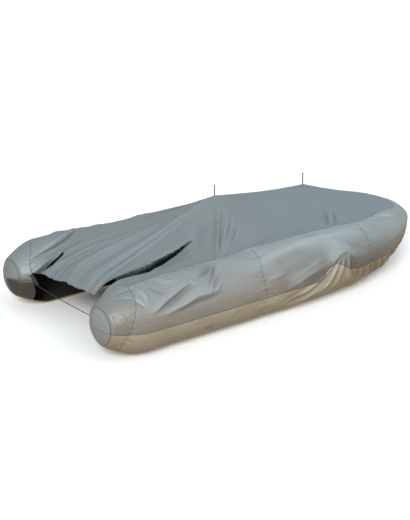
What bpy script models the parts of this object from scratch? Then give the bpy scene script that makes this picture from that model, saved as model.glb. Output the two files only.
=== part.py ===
"""Fitted cover for a small inflatable boat, held up in the middle by two support poles.

The boat is left out, so the cover is hollow. It is sewn from panels: a deck panel that runs from
tube to tube, side panels and a bow panel round the tubes, a lower band that tucks under them, and
a sock with a nose piece on each tail cone. The deck rises like a tent over the two poles.

Metres. While the shapes are worked out, x runs forward from the tips of the tail cones, y to port
and z up from the ground. A point round a tube is given by its distance s along the tube's middle
line, from the starboard cone round the bow to the port cone, and by its section angle: 0 degrees
is on top, 90 outboard, 180 underneath and -90 inboard.
"""

import bmesh
import bpy
import numpy as np
from mathutils.bvhtree import BVHTree

# ---- The boat's tubes, cover included ------------------------------------------------------------
TUBE_RADIUS = 0.225
TUBE_OFFSET = 0.555          # middle line of each tube from the middle of the boat
BOW_START = 1.920            # the tubes start to curve inwards here
BOW_MIDDLE = 2.867           # foremost point of the middle line
BOW_POWERS = (1.80, 2.32)    # how soon the curve starts and how blunt it ends
RISE_START = 1.566           # forward of this the section changes towards the bow
RISE_POWER = 1.2
CREST_RISE = -0.056          # top of the tube at the bow, above its height amidships
WIDEST_RISE = 0.152
KEEL_RISE = 0.050
CONE_LENGTH = 0.269
CONE_TIP = 0.451             # cone radius at its rounded end, as a part of the tube's
CONE_ROUND = 0.2             # the last part of the cone is rounded off

# ---- Cloth and seams -----------------------------------------------------------------------------
THICKNESS = 0.002
SEAM_GAP = 0.0003
BAND_HEIGHT = (0.197, 0.228)         # height of the band seam amidships and at the bow
HEM_ANGLE = 205.0                    # the lower band ends under the tube
SOCK_INNER_ANGLE = -88.0             # the cone's two halves meet here on the inboard side
NOSE_SEAM = 0.036                    # the nose piece's seam, along the cone
NOSE_TIP = 0.00001                   # the nose pieces close the cone's tip

# Deck seam: distance along the tube, then section angle and lift off the tube to starboard and to
# port. The cover sits a little askew: the port seam starts inboard and crosses to the tube's far side.
DECK_SEAM = (
    (0.20, 6.0, 0.000, -40.0, 0.000),
    (0.27, 3.3, 0.000, -37.7, 0.003),
    (0.33, 1.0, 0.000, -33.8, 0.006),
    (0.40, -2.0, 0.000, -26.0, 0.008),
    (0.455, -4.9, 0.000, -17.5, 0.009),
    (0.51, -7.6, 0.000, -6.3, 0.009),
    (0.585, -10.2, 0.000, 6.0, 0.008),
    (0.65, -10.9, 0.000, 16.0, 0.006),
    (0.72, -11.0, 0.001, 24.0, 0.003),
    (0.95, -11.0, 0.002, 32.0, -0.006),
    (1.25, -15.0, 0.012, 32.0, 0.000),
    (1.50, -15.8, 0.016, 31.5, 0.006),
    (1.75, -16.0, 0.020, 29.0, 0.008),
    (2.05, -18.0, 0.022, 16.0, 0.010),
    (2.30, -11.0, 0.008, -6.0, 0.006),
    (2.45, -8.0, 0.003, -8.0, 0.003),
    (2.68, -2.0, 0.000, -2.0, 0.000),
    (2.84, 16.0, 0.000, 16.0, 0.000),
    (2.94, 42.0, 0.000, 42.0, 0.000),
    (3.13, 58.0, 0.000, 58.0, 0.000),
)

# How far the band's seam is drawn up below the pulled-out point of each side: distance, degrees
BAND_PULL = (
    (1.60, 0.0),
    (1.71, 4.0),
    (1.78, 19.0),
    (1.85, 26.0),
    (1.91, 20.0),
    (1.98, 4.0),
    (2.05, 0.0),
)

# Sock seam round a tail cone: section angle, distance from the cone's tip to starboard and to port
SOCK_SEAM = (
    (-120.0, 0.130, 0.130),
    (-88.0, 0.108, 0.108),
    (-60.0, 0.112, 0.108),
    (-50.0, 0.116, 0.112),
    (-30.0, 0.160, 0.139),
    (-15.0, 0.208, 0.166),
    (0.0, 0.232, 0.193),
    (22.0, 0.224, 0.212),
    (45.0, 0.204, 0.200),
    (69.0, 0.170, 0.170),
    (85.0, 0.146, 0.146),
    (127.0, 0.106, 0.106),
    (165.0, 0.112, 0.112),
    (205.0, 0.140, 0.140),
    (240.0, 0.130, 0.130),
)

# Seam between the two side panels, and bow panel's seam: section angle, distance along the tube
SIDE_SEAM = (
    (-20.0, 1.270),
    (20.0, 1.223),
    (49.0, 1.190),
    (76.0, 1.182),
    (97.0, 1.192),
    (130.0, 1.175),
    (205.0, 1.160),
)
BOW_SEAM = (
    (-20.0, 2.320),
    (-7.0, 2.300),
    (45.0, 2.180),
    (83.0, 2.157),
    (106.0, 2.197),
    (150.0, 2.230),
    (205.0, 2.240),
)

# ---- Deck ----------------------------------------------------------------------------------------
POLE_AFT = (1.366, 0.692)            # place along the boat, height of the cloth there
POLE_FORE = (2.213, 0.637)

# Ridge of the deck along the middle: x, height
RIDGE = (
    (0.15, 0.302),
    (0.19, 0.352),
    (0.25, 0.412),
    (0.40, 0.452),
    (0.80, 0.540),
    (1.15, 0.630),
    (1.366, 0.692),
    (1.60, 0.664),
    (1.85, 0.640),
    (2.05, 0.629),
    (2.213, 0.637),
    (2.45, 0.562),
    (2.70, 0.494),
    (2.95, 0.428),
    (3.06, 0.392),
)

# Edge of the raised middle of the deck aft: x, half width and height to starboard, then to port
RAISED_EDGE = (
    (0.13, 0.290, 0.272, 0.322, 0.270),
    (0.177, 0.290, 0.304, 0.326, 0.302),
    (0.228, 0.288, 0.340, 0.334, 0.338),
    (0.289, 0.288, 0.370, 0.345, 0.362),
    (0.35, 0.290, 0.385, 0.365, 0.394),
    (0.50, 0.290, 0.408, 0.430, 0.430),
    (0.60, 0.290, 0.425, 0.480, 0.446),
    (0.70, 0.290, 0.448, 0.510, 0.449),
    (0.80, 0.285, 0.466, 0.530, 0.449),
    (0.90, 0.270, 0.492, 0.530, 0.449),
    (0.98, 0.262, 0.508, 0.530, 0.449),
)
RAISED_END = ((0.40, 0.56), (0.46, 0.86))   # it turns to the full width here, starboard and port
PORT_CREST = 0.530                   # to port the cloth rests on the tube from here out
NEAR_ROLL = (0.440, 0.050, 0.024)    # roll of slack beside the deep fold: from the middle, half width, height

# The deep fold to starboard: x, distance of its lip and of its near side from the middle, depth
DEEP_FOLD = (
    (0.17, 0.292, 0.380, 0.000),
    (0.20, 0.290, 0.400, 0.020),
    (0.25, 0.288, 0.425, 0.045),
    (0.32, 0.290, 0.440, 0.065),
    (0.45, 0.290, 0.440, 0.080),
    (0.585, 0.290, 0.405, 0.085),
    (0.685, 0.288, 0.365, 0.080),
    (0.787, 0.280, 0.328, 0.065),
    (0.86, 0.272, 0.300, 0.045),
    (0.93, 0.264, 0.276, 0.015),
    (0.98, 0.262, 0.270, 0.000),
)
EDGE_STEEPNESS = 1.9                 # fall of the cloth beyond the raised edge
VALLEY_ROUND = (0.012, 0.050, 0.014) # to starboard, and to port at the stern and forward of it
TENT_HOLLOW = 1.28                   # above 1 the deck sags between ridge and seam
PORT_HOLLOW = 1.0                    # to port it is drawn tight aft
RIDGE_ROUND = 0.10
SLIT_ROWS = 2                        # rows of the open slits between the flap and the tubes
FLAP_HALF = (0.285, 0.322)           # reach of the flap over the transom, starboard and port
# The flap's hem: place from the middle, port positive, and its x
FLAP_HEM = (
    (-0.285, 0.177),
    (-0.168, 0.166),
    (-0.010, 0.151),
    (0.132, 0.127),
    (0.322, 0.131),
)
STRIP_REACH = 0.060                  # the hem beside the flap leaves the sock's seam, forward to the slit
AFT_BLEND = (0.10, 0.42)             # the columns keep the hem's places this far, then take their own

# Folds that run from the aft pole to the flap: place across the flap, width, height
FAN = (
    (-0.27, 0.022, 0.010),
    (-0.20, 0.026, -0.009),
    (-0.13, 0.024, 0.012),
    (-0.05, 0.028, -0.010),
    (0.03, 0.024, 0.011),
    (0.11, 0.026, -0.008),
    (0.20, 0.026, 0.010),
)

# Main folds of the sides: s and angle of both ends, half width, height
SIDE_FOLDS = (
    (0.40, 76.0, 0.66, 44.0, 0.040, -0.016),
    (0.56, 68.0, 0.82, 50.0, 0.050, 0.024),
    (0.82, 10.0, 0.78, 46.0, 0.035, -0.010),
    (1.86, 12.0, 1.93, 60.0, 0.055, 0.012),
    (1.84, 66.0, 1.99, 62.0, 0.050, 0.026),
    (1.60, 104.0, 1.84, 80.0, 0.045, -0.016),
    (1.30, 72.0, 1.75, 36.0, 0.050, -0.012),
)
PORT_MIRROR = 0.92                   # the port side's folds lie a little further aft

# ---- Poles and tie ---------------------------------------------------------------------------------
POLE_TIP_RADIUS = 0.0045
POLE_TIP_REACH = (0.077, 0.086)      # how far the aft and fore tips stand above the cloth
POLE_RADIUS = 0.011
POLE_NECK_RADIUS = 0.0075
POLE_FOOT_RADIUS = 0.030
POLE_FOOT_HEIGHT = 0.008
POLE_HOLE_RADIUS = 0.006
POLE_SIDES = 16

TAB_ENDS = ((0.098, -74.0), (0.131, -100.0))   # webbing tab on a sock's hem: s and angle of its ends
TAB_WIDTH = 0.022
TAB_THICKNESS = 0.0022
TAB_CLEARANCE = 0.0006               # off the sock's faces
TIE_RADIUS = 0.0028
TIE_SAG = 0.006

# ---- Mesh steps ------------------------------------------------------------------------------------
STATIONS = (13, 12, 11)              # rows of cloth: aft side panel, forward side panel, half the bow
SIDE_STEPS = 5
BAND_STEPS = 4
SOCK_STEPS = 3
SOCK_INNER_STEPS = (2, 3)            # round the inboard side of a sock, above and below its middle
DECK_STRIP = 6                       # columns of the deck over each tube
DECK_MIDDLE = 20                     # columns between the two valleys
STRIP_ANGLE = -68.0                  # the deck is sewn to the sock as far as this section angle
VALLEY_SHARE = (0.655, 0.640)         # the cell of the valley, as a share of the deck's half width
MIDDLE_LINE_SAMPLES = 2400

SHIFT = 1.5464                       # half the cover's length, from its stern to its origin


def column(table, index):
    """One named column of a table."""
    return np.array([row[index] for row in table])


def smooth(table, at, index=1):
    """A column of a table read between its rows with a smooth curve that never overshoots."""
    x = column(table, 0)
    y = column(table, index)
    at = np.clip(np.asarray(at, float), x[0], x[-1])
    slope = np.diff(y) / np.diff(x)
    inner = np.where(slope[:-1] * slope[1:] > 0,
                     2 * slope[:-1] * slope[1:] / (slope[:-1] + slope[1:] + 1e-12), 0.0)
    tangent = np.concatenate([[slope[0]], inner, [slope[-1]]])
    i = np.clip(np.searchsorted(x, at) - 1, 0, len(x) - 2)
    width = x[i + 1] - x[i]
    t = (at - x[i]) / width
    return ((2 * t**3 - 3 * t**2 + 1) * y[i] + (t**3 - 2 * t**2 + t) * width * tangent[i]
            + (3 * t**2 - 2 * t**3) * y[i + 1] + (t**3 - t**2) * width * tangent[i + 1])


# ---- The tube surface --------------------------------------------------------------------------------
def middle_line():
    """The starboard tube's middle line as x, y and length so far, from cone tip to bow."""
    half = MIDDLE_LINE_SAMPLES // 2
    run = np.linspace(0, 1, half)
    x = np.concatenate([np.linspace(0, BOW_START, half, endpoint=False),
                        BOW_START + (BOW_MIDDLE - BOW_START) * (1 - (1 - run)**2.2)])
    bend = np.clip((x - BOW_START) / (BOW_MIDDLE - BOW_START), 0, 1)
    y = TUBE_OFFSET * np.clip(1 - bend**BOW_POWERS[0], 0, 1)**(1 / BOW_POWERS[1])
    length = np.concatenate([[0], np.cumsum(np.hypot(np.diff(x), np.diff(y)))])
    return x, y, length


LINE_X, LINE_Y, LINE_S = middle_line()
HALF_ROUND = LINE_S[-1]


def middle_at(s):
    """Place on the middle line and the outward direction there, for s round the whole boat."""
    s = np.asarray(s, float)
    port = s > HALF_ROUND
    near = np.where(port, 2 * HALF_ROUND - s, s)
    side = np.where(port, 1.0, -1.0)
    step = 0.012
    ahead = np.clip(near + step, 0, HALF_ROUND)
    behind = np.clip(near - step, 0, HALF_ROUND)
    along_x = np.interp(ahead, LINE_S, LINE_X) - np.interp(behind, LINE_S, LINE_X)
    along_y = np.interp(ahead, LINE_S, LINE_Y) - np.interp(behind, LINE_S, LINE_Y)
    at_bow = np.abs(s - HALF_ROUND) < step
    along_x = np.where(at_bow, along_x * np.abs(s - HALF_ROUND) / step, along_x)
    size = np.hypot(along_x, along_y)
    x = np.interp(near, LINE_S, LINE_X)
    y = side * np.interp(near, LINE_S, LINE_Y)
    return x, y, -along_y / size, side * along_x / size


def section_at(x):
    """Height of the widest line and the section's reach up, down and outboard at x."""
    rise = np.clip((x - RISE_START) / (BOW_MIDDLE - RISE_START), 0, 1)**RISE_POWER
    cone = np.clip((CONE_LENGTH - x) / CONE_LENGTH, 0, 1)
    tip = np.clip((cone - 1 + CONE_ROUND) / CONE_ROUND, 0, 1)
    shrink = (1 - (1 - CONE_TIP) * cone**1.6) * np.sqrt(np.clip(1 - tip**2, 0, 1))
    middle = TUBE_RADIUS + WIDEST_RISE * rise
    up = (TUBE_RADIUS + (CREST_RISE - WIDEST_RISE) * rise) * shrink
    down = (TUBE_RADIUS + (WIDEST_RISE - KEEL_RISE) * rise) * shrink
    return middle, up, down, TUBE_RADIUS * shrink


def side_fold(s, angle):
    """How far the main folds of the sides stand out, or in, at a point round the tubes."""
    port = s > HALF_ROUND
    near = np.where(port, (2 * HALF_ROUND - s) / PORT_MIRROR, s)
    out = np.zeros(np.broadcast(s, angle).shape)
    arc = np.radians(angle) * TUBE_RADIUS
    for s0, a0, s1, a1, width, height in SIDE_FOLDS:
        start = np.array([s0, np.radians(a0) * TUBE_RADIUS])
        run = np.array([s1, np.radians(a1) * TUBE_RADIUS]) - start
        t = ((near - start[0]) * run[0] + (arc - start[1]) * run[1]) / (run @ run)
        t = np.clip(t, 0, 1)
        away = np.hypot(near - start[0] - t * run[0], arc - start[1] - t * run[1])
        taper = 0.35 + 0.65 * np.sin(np.pi * t)
        out = out + height * taper * np.exp(-(away / width)**2)
    return out


def tube_point(s, angle, lift=0.0):
    """Points of the cloth round the tubes and the directions that face out of it there."""
    s, angle = np.broadcast_arrays(np.asarray(s, float), np.asarray(angle, float))
    x, y, out_x, out_y = middle_at(s)
    middle, up, down, out = section_at(x)
    turn = np.radians(angle)
    reach = np.where(np.cos(turn) > 0, up, down)
    lift = lift + side_fold(s, angle)
    face_out = np.sin(turn) / np.maximum(out, 0.004)
    face_up = np.cos(turn) / np.maximum(reach, 0.004)
    size = np.hypot(face_out, face_up)
    face_out, face_up = face_out / size, face_up / size
    tip = np.clip(1 - x / 0.12, 0, 1) * np.pi / 2
    sideways = out * np.sin(turn) + lift * face_out
    points = np.stack([x + sideways * out_x, y + sideways * out_y,
                       middle + reach * np.cos(turn) + lift * face_up], -1)
    normals = np.stack([face_out * out_x * np.cos(tip) - np.sin(tip),
                        face_out * out_y * np.cos(tip),
                        face_up * np.cos(tip)], -1)
    return points, normals / np.linalg.norm(normals, axis=-1, keepdims=True)


# ---- Seam lines ------------------------------------------------------------------------------------
def near_s(s):
    """The same distance on the starboard side, for a point on either side."""
    return np.where(s > HALF_ROUND, 2 * HALF_ROUND - s, s)


def deck_seam_angle(s):
    return np.where(s > HALF_ROUND, smooth(DECK_SEAM, near_s(s), 3), smooth(DECK_SEAM, near_s(s), 1))


def deck_seam_lift(s):
    return np.where(s > HALF_ROUND, smooth(DECK_SEAM, near_s(s), 4), smooth(DECK_SEAM, near_s(s), 2))


def band_seam_angle(s):
    """The band seam keeps its height, so its section angle grows where the tube rises."""
    x = middle_at(s)[0]
    middle, _, down, _ = section_at(x)
    rise = np.clip((x - RISE_START) / (BOW_MIDDLE - RISE_START), 0, 1)
    height = BAND_HEIGHT[0] + (BAND_HEIGHT[1] - BAND_HEIGHT[0]) * rise
    level = 90 + np.degrees(np.arcsin(np.clip((middle - height) / np.maximum(down, 0.05), -1, 1)))
    return level - smooth(BAND_PULL, near_s(s))


def hem_angle(s):
    return np.full(np.shape(s), HEM_ANGLE)


def cross_seam(name, angle, port=False):
    """Distance from its own side's cone tip of a seam that runs down across a tube."""
    table = {"sock": SOCK_SEAM, "side": SIDE_SEAM, "bow": BOW_SEAM}[name]
    return smooth(table, angle, 2 if port and name == "sock" else 1)


def round_boat(s, port):
    """A distance from a side's own cone tip as a distance round the boat."""
    return 2 * HALF_ROUND - s if port else s


# ---- Solids ------------------------------------------------------------------------------------------
def make_material(name, colour, roughness, metallic=0.0):
    material = bpy.data.materials.new(name)
    material.use_nodes = True
    shader = material.node_tree.nodes["Principled BSDF"]
    shader.inputs["Base Color"].default_value = (*colour, 1.0)
    shader.inputs["Roughness"].default_value = roughness
    shader.inputs["Metallic"].default_value = metallic
    return material


def make_object(name, vertices, faces, material):
    """One closed solid from points in the working frame."""
    mesh = bpy.data.meshes.new(name)
    moved = np.asarray(vertices) - (SHIFT, 0, 0)
    mesh.from_pydata(moved.tolist(), [], faces)
    work = bmesh.new()
    work.from_mesh(mesh)
    bmesh.ops.remove_doubles(work, verts=work.verts, dist=1e-5)
    bmesh.ops.dissolve_degenerate(work, edges=work.edges, dist=1e-5)
    bmesh.ops.triangulate(work, faces=work.faces)
    bmesh.ops.recalc_face_normals(work, faces=work.faces)
    work.to_mesh(mesh)
    work.free()
    mesh.materials.append(material)
    mesh.shade_smooth()
    mesh.set_sharp_from_angle(angle=np.radians(40))
    obj = bpy.data.objects.new(name, mesh)
    bpy.context.scene.collection.objects.link(obj)
    return obj


def sheet_solid(name, points, normals, material, keep=None):
    """A sheet of cloth with its thickness, from a grid of outer points. keep says which cells it has."""
    rows, columns = points.shape[:2]
    inner = points - normals * THICKNESS
    vertices = np.concatenate([points.reshape(-1, 3), inner.reshape(-1, 3)])
    offset = rows * columns
    if keep is None:
        keep = np.ones((rows - 1, columns - 1), bool)
    faces = []

    def has(i, j):
        return 0 <= i < rows - 1 and 0 <= j < columns - 1 and keep[i, j]

    for i in range(rows - 1):
        for j in range(columns - 1):
            if not keep[i, j]:
                continue
            a, b = i * columns + j, i * columns + j + 1
            d, c = a + columns, b + columns
            faces.append((a, b, c, d))
            faces.append((d + offset, c + offset, b + offset, a + offset))
            sides = (
                (i - 1, j, a, b),
                (i, j + 1, b, c),
                (i + 1, j, c, d),
                (i, j - 1, d, a),
            )
            for row, place, p, q in sides:
                if not has(row, place):
                    faces.append((q, p, p + offset, q + offset))
    return make_object(name, vertices, faces, material)


def gapped(count, length):
    """Steps from 0 to 1 that stop half a seam gap short of both ends of a run of that length."""
    steps = np.linspace(0, 1, count + 1)
    back = SEAM_GAP / 2 / length
    steps[0] = back
    steps[-1] = 1 - back
    return steps


def run_of(panel, across, port):
    """Start and end distance of a panel at each section angle."""
    if panel == "aft":
        return cross_seam("sock", across, port), cross_seam("side", across)
    if panel == "forward":
        return cross_seam("side", across), cross_seam("bow", across)
    return cross_seam("bow", across), np.full(np.shape(across), HALF_ROUND)


NOMINAL = {"aft": (0.20, 1.20), "forward": (1.20, 2.20), "bow": (2.20, HALF_ROUND)}
STEPS = dict(zip(("aft", "forward", "bow"), STATIONS))


def panel_grid(panel, top, bottom, steps, lift_top, port):
    """s, angle and lift over a panel, rows along the boat and columns down from its top edge."""
    along = gapped(STEPS[panel], 1.0)
    if panel == "bow":
        along[-1] = 1.0
    down = gapped(steps, 0.3)
    start, end = NOMINAL[panel]
    nominal = round_boat(start + (end - start) * along, port)
    upper, lower = top(nominal), bottom(nominal)
    angle = upper[:, None] + (lower - upper)[:, None] * down[None, :]
    first, last = run_of(panel, angle, port)
    s = round_boat(first + (last - first) * along[:, None], port)
    lift = lift_top(s) * (1 - down[None, :])**2 if lift_top else np.zeros_like(s)
    return s, angle, lift


def side_pieces(panel, part, material, name):
    """The starboard and port pieces of a side panel or band, or the one piece round the bow."""
    if part == "panel":
        edges = (deck_seam_angle, band_seam_angle, SIDE_STEPS, deck_seam_lift)
    else:
        edges = (band_seam_angle, hem_angle, BAND_STEPS, None)
    starboard, port = (tube_point(*panel_grid(panel, *edges, side)) for side in (False, True))
    if panel == "bow":
        points = np.concatenate([starboard[0], port[0][-2::-1]])
        normals = np.concatenate([starboard[1], port[1][-2::-1]])
        sheet_solid(name, points, normals, material)
        return
    sheet_solid(name + "_starboard", *starboard, material)
    sheet_solid(name + "_port", *port, material)


def seam_start(port):
    """Section angle at which the deck's seam meets the sock."""
    return DECK_SEAM[0][3 if port else 1]


def sock_angles(half, port):
    """Section angles round one half of a sock: those of the pieces it is sewn to, and its own."""
    top = seam_start(port)
    seam = float(band_seam_angle(np.array(NOMINAL["aft"][0])))
    above, below = SOCK_INNER_STEPS
    if half == "upper":
        return np.concatenate([np.linspace(SOCK_INNER_ANGLE, STRIP_ANGLE, above + 1)[:-1],
                               np.linspace(STRIP_ANGLE, top, DECK_STRIP)[:-1],
                               np.linspace(top, seam, SIDE_STEPS + 1)])
    return np.concatenate([np.linspace(seam, HEM_ANGLE, BAND_STEPS + 1)[:-1],
                           np.linspace(HEM_ANGLE, 360 + SOCK_INNER_ANGLE, below + 1)])


def sock_pieces(material, band_material):
    """Upper and lower halves of both socks and of their nose pieces."""
    nose = NOSE_TIP + (NOSE_SEAM - NOSE_TIP) * np.array([0, 0.33, 1 - SEAM_GAP / 2 / NOSE_SEAM])
    for half, cloth in (("upper", material), ("lower", band_material)):
        for side, port in (("starboard", False), ("port", True)):
            angle = sock_angles(half, port)
            seam = cross_seam("sock", np.where(angle > 240, angle - 360, angle), port)
            s = NOSE_SEAM + (seam[None, :] - NOSE_SEAM) * gapped(SOCK_STEPS, 0.15)[:, None]
            nose_s = np.repeat(nose[:, None], len(angle), 1)
            for piece, run, finish in (("sock", s, cloth), ("nose", nose_s, material)):
                turn = np.repeat(angle[None, :], len(run), 0)
                inset = np.degrees(SEAM_GAP / 2 / section_at(run)[3])
                turn[:, 0] += inset[:, 0]
                turn[:, -1] -= inset[:, -1]
                points, normals = tube_point(round_boat(run, port), turn)
                sheet_solid(f"{piece}_{half}_{side}", points, normals, finish)


# ---- Deck --------------------------------------------------------------------------------------------
def soft_max(a, b, radius):
    """The higher of two surfaces with a small round where they meet."""
    return 0.5 * (a + b + np.sqrt((a - b)**2 + radius**2))


def tent(y, width, height, ridge, rounding, hollow):
    """Height across a tent from its ridge to its edge at width, and on steeply down beyond it."""
    share = np.abs(y) / np.maximum(width, 1e-4)
    share = (np.sqrt(share**2 + rounding**2) - rounding) / (np.sqrt(1 + rounding**2) - rounding)
    inner = height + (ridge - height) * np.abs(1 - share)**hollow
    return np.where(share < 1, inner, height - EDGE_STEEPNESS * (np.abs(y) - width))


def across_fold(x, y):
    """Place across the starboard deep fold, from 0 at its lip to 1 at its near side."""
    lip, near_side = smooth(DEEP_FOLD, x, 1), smooth(DEEP_FOLD, x, 2)
    return (-y - lip) / (near_side - lip)


def ease(value, start, end):
    """From 0 at start to 1 at end, smoothly."""
    t = np.clip((value - start) / (end - start), 0, 1)
    return t * t * (3 - 2 * t)


def deck_height(x, y, half_width, seam_height):
    """Height of the deck's outer face without its small folds."""
    port = y > 0
    ridge = smooth(RIDGE, x)
    width = np.where(port, smooth(RAISED_EDGE, x, 3), smooth(RAISED_EDGE, x, 1))
    height = np.where(port, smooth(RAISED_EDGE, x, 4), smooth(RAISED_EDGE, x, 2))
    middle, up, _, out = section_at(x)

    def tube_top(from_middle):
        inboard = np.clip(np.abs(from_middle - TUBE_OFFSET) / out, 0, 0.97)
        return middle + up * np.sqrt(1 - inboard**2)

    beside, half, rise = NEAR_ROLL
    roll = rise * np.exp(-((-y - beside) / half)**2) * ease(x, 0.10, 0.20) * (1 - ease(x, 0.50, 0.66))
    tube = tube_top(np.abs(y)) + np.where(port, smooth(DECK_SEAM, x, 4), roll)
    wrap = np.where(port, 1 - ease(x, 1.95, 2.30), 0.0)
    rest_width = half_width + (np.minimum(half_width, PORT_CREST) - half_width) * wrap
    rest_height = seam_height + (tube_top(rest_width) - seam_height) * wrap
    full = np.where(port, *[ease(x, start, end) for start, end in reversed(RAISED_END)])
    from_pole = np.minimum(abs(x - POLE_AFT[0]), abs(x - POLE_FORE[0]))
    rounding = RIDGE_ROUND * (1 - np.exp(-(from_pole / 0.12)**2)) + 1e-6
    hollow = np.where(port, PORT_HOLLOW + (TENT_HOLLOW - PORT_HOLLOW) * ease(x, 1.40, 1.70), TENT_HOLLOW)
    raised = tent(y, width + (rest_width - width) * full, height + (rest_height - height) * full,
                  ridge, rounding, hollow)
    narrow = tent(y, width, height, ridge, rounding, 1.0)
    inside = np.where(port, 0.0, (1 - ease(across_fold(x, y), 0, 1)) * (1 - ease(x, 0.86, 0.98)))
    raised = raised + (narrow - raised) * inside
    starboard_round, stern_round, port_round = VALLEY_ROUND
    radius = np.where(port, stern_round + (port_round - stern_round) * ease(x, 0.45, 0.80), starboard_round)
    joined = soft_max(raised, tube, radius)
    return joined + (raised - joined) * ease(x, 1.95, 2.30)


def deep_fold(x, y):
    """How far the starboard deep fold draws the cloth down."""
    across = across_fold(x, y)
    return smooth(DEEP_FOLD, x, 3) * np.clip(1 - (2 * across - 1)**2, 0, 1)**0.7


def fan_fold(x, y):
    """The soft folds that spread from the aft pole to the flap."""
    flap = 0.15
    share = np.clip((POLE_AFT[0] - x) / (POLE_AFT[0] - flap), 0.02, 1)
    strength = np.clip((POLE_AFT[0] - x) / 0.3, 0, 1) * np.clip(1.2 - share * 0.5, 0, 1)
    out = np.zeros_like(x)
    for start, width, height in FAN:
        out = out + height * np.exp(-((y - start * share) / (width * (0.4 + 0.6 * share)))**2)
    return out * strength


def deck_edge(port):
    """The deck's edge on one side from the sock seam to the bow: points and outward normals."""
    points, normals = [], []
    inside = SEAM_GAP / TUBE_RADIUS / np.radians(1.0)
    for panel in ("aft", "forward", "bow"):
        along = gapped(STEPS[panel], 1.0)
        if panel == "bow":
            along[-1] = 1.0
        start, end = NOMINAL[panel]
        angle = deck_seam_angle(round_boat(start + (end - start) * along, port))
        first, last = run_of(panel, angle, port)
        s = round_boat(first + (last - first) * along, port)
        p, n = tube_point(s, angle - inside, deck_seam_lift(s))
        skip = 1 if points else 0
        points.append(p[skip:])
        normals.append(n[skip:])
    return np.concatenate(points), np.concatenate(normals)


def grid_normals(points):
    """Outward normals of a grid of points whose rows run forward and whose columns run to port."""
    normals = np.cross(np.gradient(points, axis=0), np.gradient(points, axis=1))
    return normals / np.maximum(np.linalg.norm(normals, axis=-1, keepdims=True), 1e-12)


def deck_columns():
    """Places across the deck as shares of its half width, starboard to port."""
    strip = np.linspace(-1, -VALLEY_SHARE[0], DECK_STRIP)
    middle = np.linspace(-VALLEY_SHARE[1], VALLEY_SHARE[1], DECK_MIDDLE + 1)
    return np.concatenate([strip, middle, -strip[::-1]])


def aft_strip(port):
    """The deck's aft edge over one tube: along the sock's seam, its last part hemmed and free."""
    share = np.linspace(0, 1, DECK_STRIP)
    top = seam_start(port)
    angle = top + (STRIP_ANGLE - top) * share
    reach = STRIP_REACH * np.clip((share - 0.84) / 0.16, 0, 1)
    return tube_point(round_boat(cross_seam("sock", angle, port) + SEAM_GAP + reach, port), angle)


def flap_hem(share):
    """The free hem of the flap between the slits: x and y."""
    half = np.where(share > 0, FLAP_HALF[1], FLAP_HALF[0])
    y = half * share / VALLEY_SHARE[1]
    return np.stack([smooth(FLAP_HEM, y), y], -1)


def meet_poles(x, share):
    """Rows of the deck bent a little in the middle, so that one passes over each pole."""
    middle = np.clip(1 - np.abs(share) / VALLEY_SHARE[1], 0, 1)**2
    for place, _ in (POLE_AFT, POLE_FORE):
        gap = place - x[:, DECK_STRIP + DECK_MIDDLE // 2]
        nearest = np.argmin(np.abs(gap))
        bend = np.clip(1 - np.abs(np.arange(len(x)) - nearest) / 3, 0, 1)
        x = x + gap[nearest] * bend[:, None] * middle[None, :]
    return x


def make_deck(material):
    starboard, port = deck_edge(False), deck_edge(True)
    strips = aft_strip(False), aft_strip(True)
    share = deck_columns()
    to_port = share[None, :] > 0
    half_width = np.where(to_port, port[0][:, 1:2], -starboard[0][:, 1:2])
    seam_height = np.where(to_port, port[0][:, 2:], starboard[0][:, 2:])
    start_x, end_x = starboard[0][:, :1], port[0][:, :1]
    edge_x = start_x + (end_x - start_x) * (share[None, :] + 1) / 2
    first = np.zeros((len(share), 2))
    first[:DECK_STRIP] = strips[0][0][:, :2]
    first[-DECK_STRIP:] = strips[1][0][::-1, :2]
    first[DECK_STRIP:-DECK_STRIP] = flap_hem(share[DECK_STRIP:-DECK_STRIP])
    settle = ease(start_x - start_x[0], *AFT_BLEND)
    y = half_width * share[None, :]
    y = y + (first[:, 1] * half_width / half_width[0] - y) * (1 - settle)
    x = edge_x + (first[:, 0] - edge_x[0])[None, :] * (1 - settle)
    x = meet_poles(x, share)
    z = deck_height(x, y, half_width, seam_height)
    at_edge = deck_height(edge_x, np.where(to_port, half_width, -half_width), half_width, seam_height)
    near_edge = np.clip((np.abs(y) / np.maximum(half_width, 1e-6) - 0.8) / 0.2, 0, 1)**2
    z = z + (seam_height - at_edge) * near_edge
    z = z + fan_fold(x, y) * (1 - near_edge) - deep_fold(x, y)
    points = np.stack([x, y, z], -1)
    points[0, :DECK_STRIP, 2] = strips[0][0][:, 2]
    points[0, -DECK_STRIP:, 2] = strips[1][0][::-1, 2]
    points[:, 0] = starboard[0]
    points[:, -1] = port[0]
    points[-1] = starboard[0][-1]
    normals = grid_normals(points)
    normals[0, :DECK_STRIP] = strips[0][1]
    normals[0, -DECK_STRIP:] = strips[1][1][::-1]
    normals[:, 0] = starboard[1]
    normals[:, -1] = port[1]
    normals[-1] = starboard[1][-1]
    keep = np.ones((len(points) - 1, len(share) - 1), bool)
    keep[:SLIT_ROWS, DECK_STRIP - 1] = False
    keep[:SLIT_ROWS, -DECK_STRIP] = False
    return sheet_solid("deck_panel", points, normals, material, keep)


def hole(name, x, z):
    """A round cutter for a pole's hole in the deck."""
    bpy.ops.mesh.primitive_cylinder_add(vertices=12, radius=POLE_HOLE_RADIUS, depth=0.06,
                                        location=(x - SHIFT, 0, z))
    cutter = bpy.context.object
    cutter.name = name
    cutter.hide_render = True
    cutter.display_type = "WIRE"
    return cutter


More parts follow.
